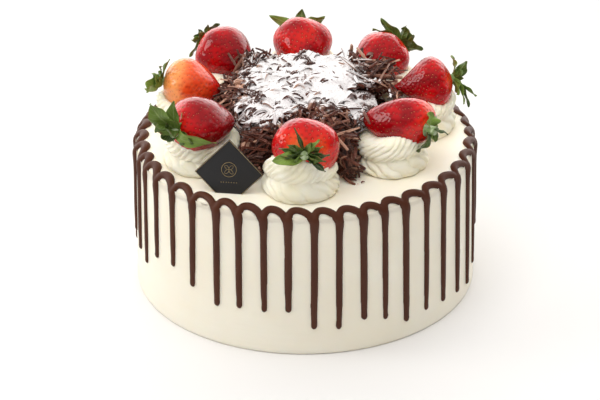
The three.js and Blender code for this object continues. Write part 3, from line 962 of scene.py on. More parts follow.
@dataclass
class ChocolateDrips:
    """The piped line of chocolate that arches over the top edge from drip to drip."""

    form: IcedForm
    front: tuple[tuple[float, float], ...] = (
        (-83, 33), (-74, 29), (-67, 26), (-58.5, 37), (-49, 39), (-39.5, 32), (-30, 25),
        (-22, 27), (-13.5, 27), (-5.5, 28), (3, 17), (11, 16), (19, 20), (26.5, 17),
        (34.5, 11), (43.5, 13), (52, 12), (61, 10), (70, 7), (79, 13),
    )
    back_count: int = 22
    join_run: float = 6.8
    crest_run: float = 2.6
    left_crest: float = 1.6
    roundness: float = 0.6
    skew: float = 0.68
    back_step: float = 1.1
    rope: float = 2.5
    left_rope: float = 0.6
    join_rope: float = 2.3
    voxel: float = 0.55
    most_triangles: int = 150000
    flatness: float = 0.8
    sunk: float = 0.35

    def places(self) -> list[tuple[float, float]]:
        """Every drip's place in radians and the height of its tip over the foot."""
        draw = np.random.default_rng(5)
        first, last = self.front[0][0] + 360, self.front[-1][0]
        step = (first - last) / (self.back_count + 1)
        back = [
            (last + (i + 1 + draw.uniform(-0.1, 0.1)) * step, draw.uniform(10, 36))
            for i in range(self.back_count)
        ]
        return [(math.radians(angle), tip) for angle, tip in (*self.front, *back)]

    def stem(self, place: float, tip: float, draw: np.random.Generator) -> Line:
        """One drip as points of (way round, run, half-width), from its funnel to its round tip."""
        middle = place * self.form.top_radius
        end = self.form.foot_run - tip
        lean, wide = draw.uniform(-0.6, 0.6), draw.uniform(0.92, 1.08)
        rows = [
            (6.5, 2.4), (9.5, 3.0), (13.5, 2.65), (18.0, 2.3), (26.0, 2.15), ((26 + end) / 2, 2.2),
            (end - 11, 2.05), (end - 6, 1.8), (end - 2.6, 2.0), (end - 1.2, 1.65), (end - 0.3, 0.8),
            (end, 0.15),
        ]
        return [
            (middle + lean * max(run - 12, 0) / (end - 12) + draw.uniform(-0.12, 0.12), run, half * wide)
            for run, half in rows
        ]

    def arch(self, start: float, end: float, draw: np.random.Generator) -> Line:
        """The rope over the edge from one drip to the next."""
        radius = self.form.top_radius
        to_left = np.clip((-math.sin((start + end) / 2) - 0.6) / 0.4, 0, 1)
        crest = self.crest_run - self.left_crest * to_left + draw.uniform(-0.4, 0.4)
        rope = (self.rope + self.left_rope * to_left) * draw.uniform(0.94, 1.06)
        rows = [(start * radius + 0.6, self.join_run + 4, 1.9)]
        for share in np.linspace(0, 1, 17):
            bow = math.sin(math.pi * share ** self.skew) ** self.roundness if share < 1 else 0.0
            way = start * radius + 1.4 - self.back_step + (end * radius - start * radius - 2.8) * share
            run = self.join_run + (crest - self.join_run) * bow
            rows.append((way, run, self.join_rope + (rope - self.join_rope) * bow))
        rows.append((end * radius - 0.6, self.join_run + 4, 1.9))
        return rows

    def rope_curve(self, lines: list[Line]) -> Piece:
        """All ropes and drips as round tubes along smooth lines, laid out flat."""
        bpy.ops.curve.primitive_nurbs_path_add(radius=MM)
        piece = take("drip_lines")
        curve = piece.data
        curve.splines.clear()
        for line in lines:
            spline = curve.splines.new("NURBS")
            spline.points.add(len(line) - 1)
            for point, (way, run, half) in zip(spline.points, line):
                point.co = (way * MM, -run * MM, 0, 1)
                point.radius = half
            spline.use_endpoint_u = True
            spline.order_u = 3
            spline.resolution_u = 4
        curve.bevel_depth = MM
        curve.bevel_resolution = 4
        curve.use_fill_caps = True
        hold(piece)
        bpy.ops.object.convert(target="MESH")
        return take("chocolate_drips")

    def lay(self, points: np.ndarray) -> np.ndarray:
        """Flattens the tubes and lays them on the icing."""
        lift = points[:, 2]
        lift = np.where(lift > 0, lift * self.flatness, lift * self.sunk)
        return self.form.on_icing(points[:, 0] / self.form.top_radius, -points[:, 1], lift)

    def build(self) -> Piece:
        """The tubes laid on the icing, melted into one and smoothed."""
        draw = np.random.default_rng(12)
        places = self.places()
        lines = []
        for i, (place, tip) in enumerate(places):
            after = places[(i + 1) % len(places)][0] + (0 if i + 1 < len(places) else FULL_TURN)
            lines.append(self.stem(place, tip, draw))
            lines.append(self.arch(place, after, draw))
        piece = self.rope_curve(lines)
        reshape(piece, self.lay)
        finish_with(piece, "REMESH", mode="VOXEL", voxel_size=self.voxel * MM)
        finish_with(piece, "SMOOTH", factor=0.5, iterations=6)
        finish_with(piece, "DECIMATE", ratio=min(1, self.most_triangles / triangles(piece)))
        smooth(piece)
        return piece

    def dress(self, finishes: Finishes) -> None:
        """Gives the chocolate its finish."""
        hand_over(self.build(), finishes.chocolate, ["cake_body"])


# ------------------------------------------------------------------ rosettes, strawberries and leaves


@dataclass
class Strawberry:
    """One glazed strawberry with its seeds."""

    place: Place
    flatness: float = 0.88
    seed_count: int = 400
    seeds_from: float = 0.02
    seeds_to: float = 0.965
    pit_depth: float = 0.24
    pit_width: float = 0.85

    def outline(self, share: np.ndarray) -> np.ndarray:
        """Half-width at a share of the length from the tip."""
        inside = np.sin(np.pi * np.clip(share, 0, 1) ** self.place.shoulder)
        return 0.5 * self.place.width * np.clip(inside, 0, 1) ** self.place.bluntness

    def skin(self, share: np.ndarray, turn: np.ndarray) -> np.ndarray:
        """Points on the bare skin, in the berry's own frame.

        Args:
            share: the way from tip to calyx, 0 to 1.
            turn: the angle round the berry.

        Returns:
            One row for each point.
        """
        half = self.outline(share)
        seed = self.place.number
        lobes = 1 + 0.025 * np.sin(3 * turn + seed) + 0.018 * np.sin(5 * turn + 2.1 * seed + 4 * share)
        lobes = lobes - self.place.ridge * np.sin(3 * turn)
        towards_tip = (1 - share) ** 2
        side, up = self.place.bend
        x = half * lobes * np.cos(turn) + side * towards_tip
        y = half * lobes * np.sin(turn) * self.flatness + up * towards_tip
        points = np.column_stack([x, y, (share - 0.5) * self.place.length])
        dents = 0.4 * ripple(points, 12, seed) + 0.2 * ripple(points, 6, 3 * seed)
        return points + self.inward(points) * dents[:, None]

    @staticmethod
    def inward(points: np.ndarray) -> np.ndarray:
        """The way from points on the skin to the berry's middle line."""
        way = points * (-1.0, -1.0, -0.5)
        return way / np.maximum(np.linalg.norm(way, axis=1), 1e-6)[:, None]

    def seeds(self) -> tuple[np.ndarray, np.ndarray]:
        """Where the seeds sit, evenly over the skin: shares of the length and angles."""
        fine = np.linspace(0.0, 1.0, 400)
        half = self.outline(fine)
        skin = half * np.hypot(np.gradient(half, fine), self.place.length)
        total = np.cumsum(skin) / skin.sum()
        draw = np.random.default_rng(100 + self.place.number)
        count = self.seed_count
        shares = np.interp((np.arange(count) + 0.5) / count, total, fine)
        turns = np.arange(count) * GOLDEN_ANGLE + draw.normal(0, 0.06, count)
        keep = (shares > self.seeds_from) & (shares < self.seeds_to)
        return shares[keep], turns[keep]

    def build(self) -> tuple[Piece, Piece]:
        """The flesh with a pit for every seed, and the seeds."""
        flesh = ball(f"strawberry_flesh_{self.place.number}", 176, 116)
        unit = corners(flesh)
        share = (1 + np.clip(unit[:, 2], -1, 1)) / 2
        turn = np.arctan2(unit[:, 1], unit[:, 0])
        points = self.skin(share, turn)
        seed_share, seed_turn = self.seeds()
        sites = self.skin(seed_share, seed_turn)
        tree = KDTree(len(sites))
        for i, site in enumerate(sites):
            tree.insert(site, i)
        tree.balance()
        away = np.array([tree.find(point)[2] for point in points])
        pit = np.exp(-((away / self.pit_width) ** 2))
        depth = self.pit_depth * self.place.gloss.value
        points = points + self.inward(points) * (depth * (pit - 0.25))[:, None]
        bed = np.array(self.place.bed)
        set_corners(flesh, carry(points, bed))
        store(flesh, "pit", pit)
        store(flesh, "ripe", self.ripeness(share, points))
        smooth(flesh)
        return flesh, self.seed_mesh(sites, seed_share, seed_turn, depth, bed)

    def ripeness(self, share: np.ndarray, points: np.ndarray) -> np.ndarray:
        """How ripe the skin is: patchy, and paler towards the calyx."""
        place = self.place
        pale = 0.45 * np.clip((share - 0.62) / 0.38, 0, 1) ** 1.3
        patches = place.patchiness * ripple(points, 9, 2 * place.number + 1)
        return np.clip(place.ripeness + place.blush * (0.8 - share) + patches - pale, 0, 1)

    def seed_mesh(
        self, sites: np.ndarray, share: np.ndarray, turn: np.ndarray, depth: float, bed: np.ndarray
    ) -> Piece:
        """A pointed seed in every pit."""
        model = ball("seed_model", 6, 4)
        reshape(model, lambda points: points * (0.28, 0.48, 0.2) * np.column_stack(
            [1 - 0.25 * points[:, 1], np.ones(len(points)), np.ones(len(points))]
        ))
        along = units(self.skin(np.clip(share + 0.01, 0, 1), turn) - self.skin(share - 0.01, turn))
        round_ = units(self.skin(share, turn + 0.02) - self.skin(share, turn - 0.02))
        out = units(np.cross(round_, along))
        frames = np.stack([round_, along, out], axis=-1)
        shown = 0.03 + 0.11 * self.place.gloss.value
        places = sites - out * (depth * 0.75 + 0.2 - shown)
        frames = np.einsum("ij,njk->nik", bed[:3, :3], frames)
        piece = copies(f"strawberry_seeds_{self.place.number}", model, frames, carry(places, bed))
        smooth(piece)
        return piece

    def dress(self, finishes: Finishes) -> Piece:
        """Gives flesh and seeds their finishes."""
        flesh, seeds = self.build()
        hand_over(flesh, finishes.berry, [f"strawberry_{self.place.number}"])
        hand_over(seeds, finishes.seed)
        return flesh


@dataclass
class Calyx:
    """The leaves of one strawberry and its cut stalk."""

    place: Place
    thickness: float = 0.45
    root_width: float = 2.2
    stalk_radius: float = 2.6
    stalk_length: float = 5.0
    inner_count: int = 3

    @property
    def out(self) -> np.ndarray:
        """The way out of the berry at the calyx, in the berry's frame."""
        turn = math.radians(self.place.calyx_turn)
        return np.array([math.sin(turn), 0.0, math.cos(turn)])

    def root(self, berry: Piece) -> np.ndarray:
        """Where the calyx grows, with the axes of the berry."""
        bed = self.place.bed
        towards = bed.to_3x3() @ Vector(self.out)
        hit = skin_of(berry).ray_cast((bed.translation + towards * 60) * MM, -towards)[0]
        return np.array(Matrix.Translation(hit / MM + towards * 0.3) @ bed.to_3x3().to_4x4())

    def blade(self, leaf: Leaf, index: int) -> Piece:
        """One leaf: a grid shaped to a pointed blade, folded at its midrib and bowed to its tip."""
        bpy.ops.mesh.primitive_grid_add(x_subdivisions=6, y_subdivisions=14, size=2 * MM)
        piece = take(f"blade_{index}")
        grid = corners(piece)
        across, along = grid[:, 0], (grid[:, 1] + 1) / 2
        tip = np.array(leaf.tip)
        out = self.out
        flat = tip - out * (tip @ out)
        start = flat / max(np.linalg.norm(flat), 1e-6) * 1.2
        bulge = (start + tip) / 2 + out * leaf.bow
        t = along[:, None]
        spine = start * (1 - t) ** 2 + 2 * bulge * t * (1 - t) + tip * t ** 2
        forward = units(2 * (bulge - start) * (1 - t) + 2 * (tip - bulge) * t)
        radial = tip / np.linalg.norm(tip)
        face = out - radial * (out @ radial)
        face /= np.linalg.norm(face)
        face = face * math.cos(leaf.roll) + np.cross(radial, face) * math.sin(leaf.roll)
        side = units(np.cross(forward, face))
        normal = np.cross(side, forward)
        half = 0.5 * leaf.width * (np.sin(np.pi * np.clip(0.12 + 0.88 * along, 0, 1) ** 0.85) ** 0.8)
        half = np.maximum(half, 0.5 * self.root_width * (1 - along) ** 3)
        draw = np.random.default_rng(self.place.number * 20 + index)
        length = np.linalg.norm(tip)
        half = half * (1 + draw.uniform(-0.3, 0.3) * across)
        fold = draw.uniform(0.15, 0.6) * np.abs(across) * half
        waves = np.sin(along * 11 + 2 * across + index + self.place.number)
        wave = 0.13 * leaf.width * waves * np.abs(across)
        curl = length * draw.uniform(-0.08, 0.24) * along ** 3
        sway = length * draw.uniform(-0.12, 0.12) * along ** 2
        points = spine + side * (across * half + sway)[:, None] + normal * (fold + wave + curl)[:, None]
        set_corners(piece, points)
        store(piece, "across", across)
        store(piece, "along", along)
        tone = draw.uniform(0.0, 0.85)
        store(piece, "tone", np.full(len(points), tone if leaf.fresh is None else leaf.fresh))
        finish_with(piece, "SOLIDIFY", thickness=self.thickness * MM, offset=0)
        finish_with(piece, "SUBSURF", levels=1, render_levels=1)
        return piece

    def inner_leaves(self) -> list[Leaf]:
        """Short curled leaves that stand between the long ones."""
        draw = np.random.default_rng(300 + self.place.number)
        turns = draw.uniform(0, FULL_TURN, self.inner_count)
        reaches = draw.uniform(5.0, 8.5, self.inner_count)
        return [
            Leaf(
                (reach * math.cos(turn), reach * math.sin(turn), draw.uniform(1.5, 4.5)),
                draw.uniform(3.0, 4.6), draw.uniform(1.5, 3.0), draw.uniform(-0.6, 0.6),
            )
            for turn, reach in zip(turns, reaches)
        ]

    def build(self, berry: Piece) -> tuple[Piece, Piece]:
        """The leaves as one piece, and the stalk with the pale disc that it grows from."""
        number = self.place.number
        turn = self.root(berry)
        stand = turn @ np.array(turned(self.place.calyx_turn, "Y"))
        every = [*self.place.leaves, *self.inner_leaves()]
        leaves = join(f"leaves_{number}", [self.blade(leaf, i) for i, leaf in enumerate(every)])
        reshape(leaves, lambda points: carry(points, turn))
        smooth(leaves)
        bpy.ops.mesh.primitive_cylinder_add(
            vertices=20, radius=self.stalk_radius * MM, depth=self.stalk_length * MM,
            location=(0, 0, self.stalk_length * 0.4 * MM),
        )
        stalk = take(f"stalk_{number}")
        bpy.ops.object.transform_apply(location=True, rotation=False, scale=False)
        pick_faces(stalk, lambda face: face.normal.z > 0.9)
        bpy.ops.mesh.inset(thickness=0.5 * MM)
        bpy.ops.transform.translate(value=(0, 0, -0.4 * MM))
        close()
        pick_faces(stalk, lambda face: face.normal.z < -0.9)
        bpy.ops.mesh.extrude_region_move(TRANSFORM_OT_translate={"value": (0, 0, -0.8 * MM)})
        bpy.ops.transform.resize(value=(1.9, 1.9, 1))
        close()
        finish_with(stalk, "BEVEL", width=0.35 * MM, segments=2)
        reshape(stalk, lambda points: carry(points, stand))
        smooth(stalk, 50)
        return leaves, stalk

    def dress(self, finishes: Finishes, berry: Piece) -> None:
        """Gives leaves and stalk their finishes."""
        leaves, stalk = self.build(berry)
        hand_over(leaves, finishes.leaf, [f"calyx_{self.place.number}"])
        hand_over(stalk, finishes.stalk)


@dataclass
class Rosette:
    """One piped swirl of cream in two tiers, pressed down by its strawberry."""

    place: Place
    ribs: int = 26
    rib_depth: float = 1.2
    twist: float = 1.45
    folds: int = 15
    fold_depth: float = 1.3
    fold_twist: float = 1.3
    brim: float = 0.22
    foot_share: float = 0.1
    top_share: float = 0.8
    crease: float = 0.47
    unpressed: float = 8.0
    cling: float = 0.4

    OUTLINE = (
        (0.0, 0.93), (0.06, 0.985), (0.15, 1.01), (0.28, 0.99), (0.38, 0.95), (0.47, 0.88), (0.55, 0.93),
        (0.64, 0.97), (0.74, 0.955), (0.83, 0.89), (0.91, 0.79), (0.97, 0.66), (1.0, 0.55),
    )

    def build(self, berry: Piece) -> Piece:
        """A ball drawn out to the swirl's outline, ribbed with a twist and dented by the berry."""
        place = self.place
        piece = ball(f"cream_swirl_{place.number}", 288, 84)
        unit = corners(piece)
        share = np.arccos(np.clip(-unit[:, 2], -1, 1)) / np.pi
        points = self.swirl(share, np.arctan2(unit[:, 0], -unit[:, 1]))
        points = self.press(carry(points, np.array(place.seat)), berry)
        set_corners(piece, points)
        smooth(piece)
        return piece

    def swirl(self, share: np.ndarray, turn: np.ndarray) -> np.ndarray:
        """Points of the swirl before it is pressed.

        Args:
            share: 0 at its foot's middle, 1 at its peak.
            turn: the angle round it, 0 where it faces outwards.

        Returns:
            One row for each point, in the rosette's own frame.
        """
        place = self.place
        seed = 1.7 * place.number
        heights, widths = np.array(self.OUTLINE).T
        rise = np.clip((share - self.foot_share) / (self.top_share - self.foot_share), 0, 1)
        coil = 0.05 * np.sin(turn + seed) * np.sin(np.pi * rise)
        width = np.interp(np.clip(rise + coil, 0, 1), heights, widths)
        outwards = (1 + np.cos(turn)) / 2
        width = width + self.brim * outwards * np.clip((rise - 0.74) / 0.26, 0, 1)
        top_width = widths[-1] + self.brim * outwards
        width = np.where(share < self.foot_share, widths[0] * share / self.foot_share, width)
        inside = np.clip((1 - share) / (1 - self.top_share), 0, 1)
        width = np.where(share > self.top_share, top_width * inside, width)
        lip = place.lip * (1 + 0.04 * np.sin(2 * turn + seed) + 0.03 * np.sin(3 * turn - seed))
        lip = lip * (1 - place.droop * np.minimum(1 - np.cos(turn), 1.2))
        height = lip * rise + 1.5 * (1 - inside) * (share > self.top_share)
        over = rise + coil - self.crease
        upper = np.clip(over / 0.05 + 0.5, 0, 1)
        stray = 0.07 * np.sin(3 * turn + 5 * rise + seed) + 0.03 * np.sin(9 * turn - 7 * rise)
        rib_turn = turn - self.twist * over + stray
        fold_turn = turn + self.fold_twist * over + 1.5 * stray
        rib_valley = 1 - np.abs(np.cos(0.5 * self.ribs * rib_turn)) ** 0.85
        fold_valley = 1 - np.abs(np.cos(0.5 * self.folds * fold_turn)) ** 0.8
        uneven = 1 + 0.35 * np.sin(4 * turn + seed + 3 * rise) * np.sin(7 * rise + 2 * turn)
        valley = self.rib_depth * rib_valley * upper + self.fold_depth * fold_valley * (1 - upper)
        depth = uneven * np.clip(share / self.foot_share - 0.6, 0, 1) * np.clip(2 * inside, 0, 1)
        wobble = 1 + 0.02 * np.sin(2 * turn + seed) + 0.012 * np.sin(5 * turn - 2 * seed)
        radius = place.radius * width * wobble - depth * valley
        points = np.column_stack([radius * np.sin(turn), -radius * np.cos(turn), height])
        lumps = 0.5 * ripple(points, 6, seed) * np.clip(radius / 6, 0, 1)
        away = np.column_stack([np.sin(turn), -np.cos(turn), np.zeros(len(turn))])
        return points + away * lumps[:, None]

    def press(self, points: np.ndarray, berry: Piece) -> np.ndarray:
        """Lowers the cream to the underside of the berry that lies in it."""
        under = skin_of(berry)
        pressed = points.copy()
        for i, (x, y, z) in enumerate(points):
            if z < IcedForm.height + self.unpressed:
                continue
            hit = under.ray_cast(Vector((x, y, 0)) * MM, Vector((0, 0, 1)))[0]
            if hit is not None:
                pressed[i, 2] = min(z, hit.z / MM + self.cling)
        return pressed

    def dress(self, finishes: Finishes, berry: Piece) -> Piece:
        """Gives the cream its finish."""
        return hand_over(self.build(berry), finishes.cream, [f"rosette_{self.place.number}"])


# ------------------------------------------------------------------ heap of shavings


@dataclass(frozen=True)
class Shaving:
    """One kind of shaving: its mean size, its bow, roll, taper and twist, and its share of them all."""

    name: str
    length: float
    width: float
    thick: float
    bow: float
    rolled: float
    taper: float
    twist: float
    share: float


@dataclass(frozen=True)
class Spot:
    """Where a shaving may lie: its middle, the way out of the heap there, and how it may lie."""

    middle: np.ndarray
    out: np.ndarray
    steep: float
    freely: float
    longest: float

    @property
    def bedded(self) -> bool:
        """Whether the shaving lies flat under the sugar."""
        return self.steep < 0.05


def soften(field: np.ndarray, reach: int) -> np.ndarray:
    """A height field blurred over so many cells each way."""
    weights = np.exp(-np.linspace(-1.5, 1.5, 2 * reach + 1) ** 2)
    weights /= weights.sum()
    for axis in (0, 1):
        padded = np.pad(field, [(reach, reach) if a == axis else (0, 0) for a in (0, 1)], mode="edge")
        field = np.apply_along_axis(lambda line: np.convolve(line, weights, "valid"), axis, padded)
    return field


@dataclass
class ShavingsHeap:
    """The heap of chocolate shavings under icing sugar."""

    form: IcedForm
    height: float = 31.0
    reach: float = 69.0
    rim: float = 45.0
    clearance: float = 2.4
    lump: float = 1.1
    count: int = 2450
    tuft_share: float = 0.22
    bare_share: float = 0.24
    grain_count: int = 2600
    crumb_count: int = 26
    tufts: tuple[tuple[float, float, float, float, float], ...] = (
        (-34, 34, 31, 3.0, 1.4), (-25, 44, 26, 3.0, 0.9), (36, 14, 31, 6.0, 0.45), (44, 23, 31, 5.0, 0.5),
        (35, 35, 30, 4.0, 0.6), (48, 6, 25, 5.0, 0.4), (-42, 8, 24, 5.0, 0.5), (30, -30, 24, 6.0, 0.3),
        (26, -56, 3, 1.8, 0.2), (24, -52, 8, 2.0, 0.3), (22, -45, 15, 3.0, 0.4),
    )
    falls: tuple[tuple[float, float, float, float, float], ...] = (
        (-3, 11, 36, 41, 0.85), (16, 9, 14, 43, 1.1), (-24, -29, 20, 18, 0.9), (40, -4, 14, 8, 0.75),
        (31, -24, 10, 15, 0.85), (34, 18, 8, 9, 0.5), (0, -4, 52, 50, 0.36),
    )
    kinds: tuple[Shaving, ...] = (
        Shaving("stick", 16.0, 1.4, 0.7, 0.5, 2.2, 0.2, 0.3, 0.5),
        Shaving("strip", 17.0, 1.8, 0.45, 1.3, 1.4, 0.4, 0.8, 0.24),
        Shaving("quill", 13.0, 2.7, 0.4, 0.5, 4.4, 0.2, 0.4, 0.09),
        Shaving("curl", 12.0, 1.6, 0.45, 2.4, 1.0, 0.4, 1.2, 0.07),
        Shaving("flake", 7.0, 2.8, 0.45, 0.5, 0.8, 0.3, 0.3, 0.1),
    )
    steepest: float = 0.66
    drift_from: float = 0.45
    drift_rise: tuple[tuple[float, ...], tuple[float, ...]] = (
        (0.45, 0.75, 0.95, 1.1), (-4.0, -0.25, 0.25, 0.9),
    )
    drift_thickness: float = 2.5
    drift_cells: tuple[int, int] = (170, 150)
    drift_field: tuple[tuple[float, float], tuple[float, float]] = ((-47.0, -44.0), (58.0, 54.0))
    rows: tuple[tuple[float, float, float], ...] = (
        (0.0, 1.0, 1.0), (0.5, 0.85, 1.0), (0.82, 0.45, 1.0), (0.94, 0.15, 0.88),
        (1.0, 0.0, 0.5), (1.0, 0.0, 0.0),
    )
    core_depth: float = 2.2
    core_foot: float = 0.1
    gap: float = 0.3
    berry_range: float = 35.0
    cuts: tuple[float, ...] = (1.0, 0.6, 0.35)
    bedded_width: float = 2.0

    def foot(self, angle: float) -> float:
        """How far the foot of the heap reaches in a direction in radians."""
        reach = self.reach
        for place in PLACES:
            clear = place.radius * 1.075 + self.clearance
            turn = angle - math.radians(place.angle)
            aside = place.out * math.sin(turn)
            if math.cos(turn) > 0 and abs(aside) < clear:
                reach = min(reach, place.out * math.cos(turn) - math.sqrt(clear ** 2 - aside ** 2))
        return reach

    def surface(self, angle: float, way: float, swell: float = 0.0) -> np.ndarray:
        """A point on the heap.

        Args:
            angle: its direction in radians.
            way: 0 at the foot to 1 at the middle of the top.
            swell: how far it stands out from the heap.

        Returns:
            The point.
        """
        reach = self.foot(angle)
        outline = []
        for height, spread, inset in self.rows:
            lump = self.lump * height * (math.sin(5 * (angle + height)) + math.sin(11 * (angle + height)))
            distance = inset * ((self.rim + lump) * (1 - spread) + reach * spread)
            rise = self.height * height + lump * (1 - spread)
            outline.append((distance + swell * (inset > 0), rise + swell))
        distances, heights = np.array(outline).T
        steps = np.concatenate([[0], np.cumsum(np.hypot(np.diff(distances), np.diff(heights)))])
        at = way * steps[-1]
        distance, height = np.interp(at, steps, distances), np.interp(at, steps, heights)
        return np.array([distance * math.sin(angle), -distance * math.cos(angle), self.form.height + height])

    def build_core(self) -> Piece:
        """The dark inside of the heap."""
        piece = ball("heap_core", 120, 60)
        unit = corners(piece)
        way = np.clip(1 - np.arccos(np.clip(unit[:, 2], -1, 1)) / np.pi, 0, 1)
        turn = np.arctan2(unit[:, 0], -unit[:, 1])
        points = np.array([self.core_point(a, w) for a, w in zip(turn, way)])
        rough = ripple(points, 2.2) + 0.8 * ripple(points, 5, 4)
        out = units(points - [0, 0, self.form.height + 10])
        points = points + out * rough[:, None]
        points[:, 2] = np.maximum(points[:, 2], self.form.height - 0.3)
        set_corners(piece, points)
        store(piece, "grain", np.zeros(len(points)))
        smooth(piece, 60)
        return piece

    def core_point(self, angle: float, way: float) -> np.ndarray:
        """A point of the core: below the heap's surface, or of its flat underside."""
        foot = self.core_foot
        if way > foot:
            return self.surface(angle, max((way - foot) / (1 - foot), 0), -self.core_depth)
        return self.surface(angle, 0, -self.core_depth) * [way / foot, way / foot, 1]

    def shaving_model(self, kind: Shaving) -> Piece:
        """One kind of shaving at its mean size, shaved off thin and rolled or bent."""
        bpy.ops.mesh.primitive_grid_add(x_subdivisions=4, y_subdivisions=7, size=1 * MM)
        piece = take(f"{kind.name}_model")
        grid = corners(piece)
        across, along = grid[:, 0], grid[:, 1]
        half = kind.width * (1 - kind.taper * np.abs(2 * along) ** 3)
        bow = kind.bow * (1 - 4 * along ** 2)
        turn = across * kind.rolled
        x, z = half * np.sin(turn) / kind.rolled, half * (1 - np.cos(turn)) / kind.rolled
        spin = kind.twist * along
        x, z = x * np.cos(spin) - z * np.sin(spin), x * np.sin(spin) + z * np.cos(spin) + bow
        ragged = 0.3 * np.sin(40 * across + 3 * kind.width) * (np.abs(along) > 0.45)
        set_corners(piece, np.column_stack([x, along * kind.length + ragged, z]))
        finish_with(piece, "SOLIDIFY", thickness=kind.thick * MM, offset=0)
        return piece

    def free(self, point: np.ndarray, along: np.ndarray, length: float, solids: Solids) -> bool:
        """Whether a shaving stays out of the berries and their cream."""
        for place in PLACES:
            if (Vector(point) - place.seat.translation).length > place.radius + self.berry_range:
                continue
            for share in (-0.5, -0.25, 0, 0.25, 0.5):
                spot = Vector(point + along * length * share) * MM
                for tree in solids[place.number]:
                    near, normal, _, _ = tree.find_nearest(spot)
                    if (spot - near).dot(normal) < self.gap * MM:
                        return False
        return True

    def over(self, angle: float, way: float) -> tuple[np.ndarray, np.ndarray]:
        """A point on the heap and the way out of it there."""
        point = self.surface(angle, way)
        step_a = self.surface(angle + 0.06, way) - self.surface(angle - 0.06, way)
        step_w = self.surface(angle, min(way + 0.03, 1)) - self.surface(angle, max(way - 0.03, 0))
        normal = np.cross(step_a, step_w)
        size = np.linalg.norm(normal)
        normal = normal / size if size > 1e-6 else np.array([0, 0, 1.0])
        return point, normal if normal @ (point - [0, 0, self.form.height - 5]) > 0 else -normal

    def spots(self, draw: np.random.Generator) -> Iterator[Spot]:
        """Where shavings may lie, without end: in tufts, flat under the sugar or on the heap's sides.

        Args:
            draw: the random draw.

        Returns:
            One spot after another.
        """
        up = np.array([0, 0, 1.0])
        while True:
            if draw.random() < self.tuft_share:
                x, y, height, spread, steep = self.tufts[int(draw.integers(0, len(self.tufts)))]
                stray = draw.normal(0, 1, 3) * (spread, spread, spread / 2)
                middle = np.array([x, y, self.form.height + height]) + stray
                yield Spot(middle, up, steep, freely=0.8, longest=4 * spread + 2)
                continue
            angle, way = draw.uniform(0, FULL_TURN), draw.uniform(0, 1)
            point, normal = self.over(angle, way)
            if draw.random() > math.hypot(point[0], point[1]) / 60 + 0.02:
                continue
            if self.sugared(point[None])[0] > 0.4 and normal[2] > 0.7:
                middle = point + normal * draw.uniform(-0.4, 0.9)
                yield Spot(middle, up, steep=0.04, freely=0.4, longest=10.0)
            else:
                middle = point + normal * draw.uniform(-0.6, 1.5)
                yield Spot(middle, normal, steep=0.13, freely=0.7, longest=24.0)

    def lay(self, draw: np.random.Generator, solids: Solids) -> dict[str, list]:
        """Lays the shavings: for each kind its frames, places and tones."""
        laid = {kind.name: [] for kind in self.kinds}
        shares = np.array([kind.share for kind in self.kinds])
        spots, tones = self.spots(draw), np.random.default_rng(32)
        while sum(len(kept) for kept in laid.values()) < self.count:
            spot = next(spots)
            tone = tones.random()
            any_way = draw.normal(size=3) * (1, spot.freely, 0.5)
            along = any_way - spot.out * (any_way @ spot.out)
            along = along / np.linalg.norm(along) + spot.out * draw.normal(0, spot.steep)
            along /= np.linalg.norm(along)
            side = np.cross(along, spot.out)
            side /= np.linalg.norm(side)
            roll = draw.normal(0, 0.15 if spot.bedded else 0.6)
            side, up = rolled(side, np.cross(side, along), roll)
            kind = self.kinds[int(draw.choice(len(self.kinds), p=shares / shares.sum()))]
            long = min(draw.uniform(0.65, 1.35), spot.longest / kind.length)
            wide = draw.uniform(0.7, 1.25) * (self.bedded_width if spot.bedded else 1)
            for cut in self.cuts:
                length = kind.length * long * cut
                low = spot.middle[2] - abs(along[2]) * length / 2
                if low > self.form.height + self.gap and self.free(spot.middle, along, length, solids):
                    frame = np.column_stack([side * wide, along * long * cut, up * wide])
                    laid[kind.name].append((frame, spot.middle, tone))
                    break
        return laid

    def sugared(self, points: np.ndarray) -> np.ndarray:
        """How thickly the sugar fell at points, from 0 to about 1."""
        share = np.zeros(len(points))
        for x, y, across, along, most in self.falls:
            away = np.hypot((points[:, 0] - x) / across, (points[:, 1] - y) / along)
            share = np.maximum(share, most * np.clip((1.25 - away) / 0.5, 0, 1))
        return share

    def build_shavings(self, solids: Solids) -> list[Piece]:
        """The shavings, one mesh for each kind."""
        laid = self.lay(np.random.default_rng(31), solids)
        pieces = []
        for kind in self.kinds:
            frames, places, tones = (np.array(column) for column in zip(*laid[kind.name]))
            piece = copies(f"{kind.name}_shavings", self.shaving_model(kind), frames, places, tones)
            grain = np.empty(len(piece.data.vertices), np.float32)
            piece.data.attributes["grain"].data.foreach_get("value", grain)
            store(piece, "sugared", self.sugared(corners(piece)) * (grain > self.bare_share))
            smooth(piece, 40)
            pieces.append(piece)
        return pieces

    def build_sugar(self, under: Sequence[Piece]) -> Piece:
        """The drift of icing sugar that fills the hollows between the shavings."""
        columns, rows = self.drift_cells
        bpy.ops.mesh.primitive_grid_add(x_subdivisions=columns, y_subdivisions=rows, size=1 * MM)
        piece = take("icing_sugar_drift")
        low, high = np.array(self.drift_field)
        flat = low + (corners(piece)[:, :2] + 0.5) * (high - low)
        tops = self.tops(flat, under).reshape(rows + 1, columns + 1)
        points = np.column_stack([flat, np.zeros(len(flat))])
        fall = self.sugared(points).reshape(tops.shape)
        lumps = (0.35 * ripple(points, 6) + 0.2 * ripple(points, 1.8, 3)).reshape(tops.shape)
        height = soften(tops, 5) + np.interp(fall, *self.drift_rise) + lumps
        set_corners(piece, np.column_stack([flat, height.ravel()]))
        pick_faces(piece, lambda face: face.normal.z < self.steepest or self.bare(face.center / MM))
        bpy.ops.mesh.delete(type="FACE")
        close()
        finish_with(piece, "SOLIDIFY", thickness=self.drift_thickness * MM, offset=-1)
        smooth(piece)
        return piece

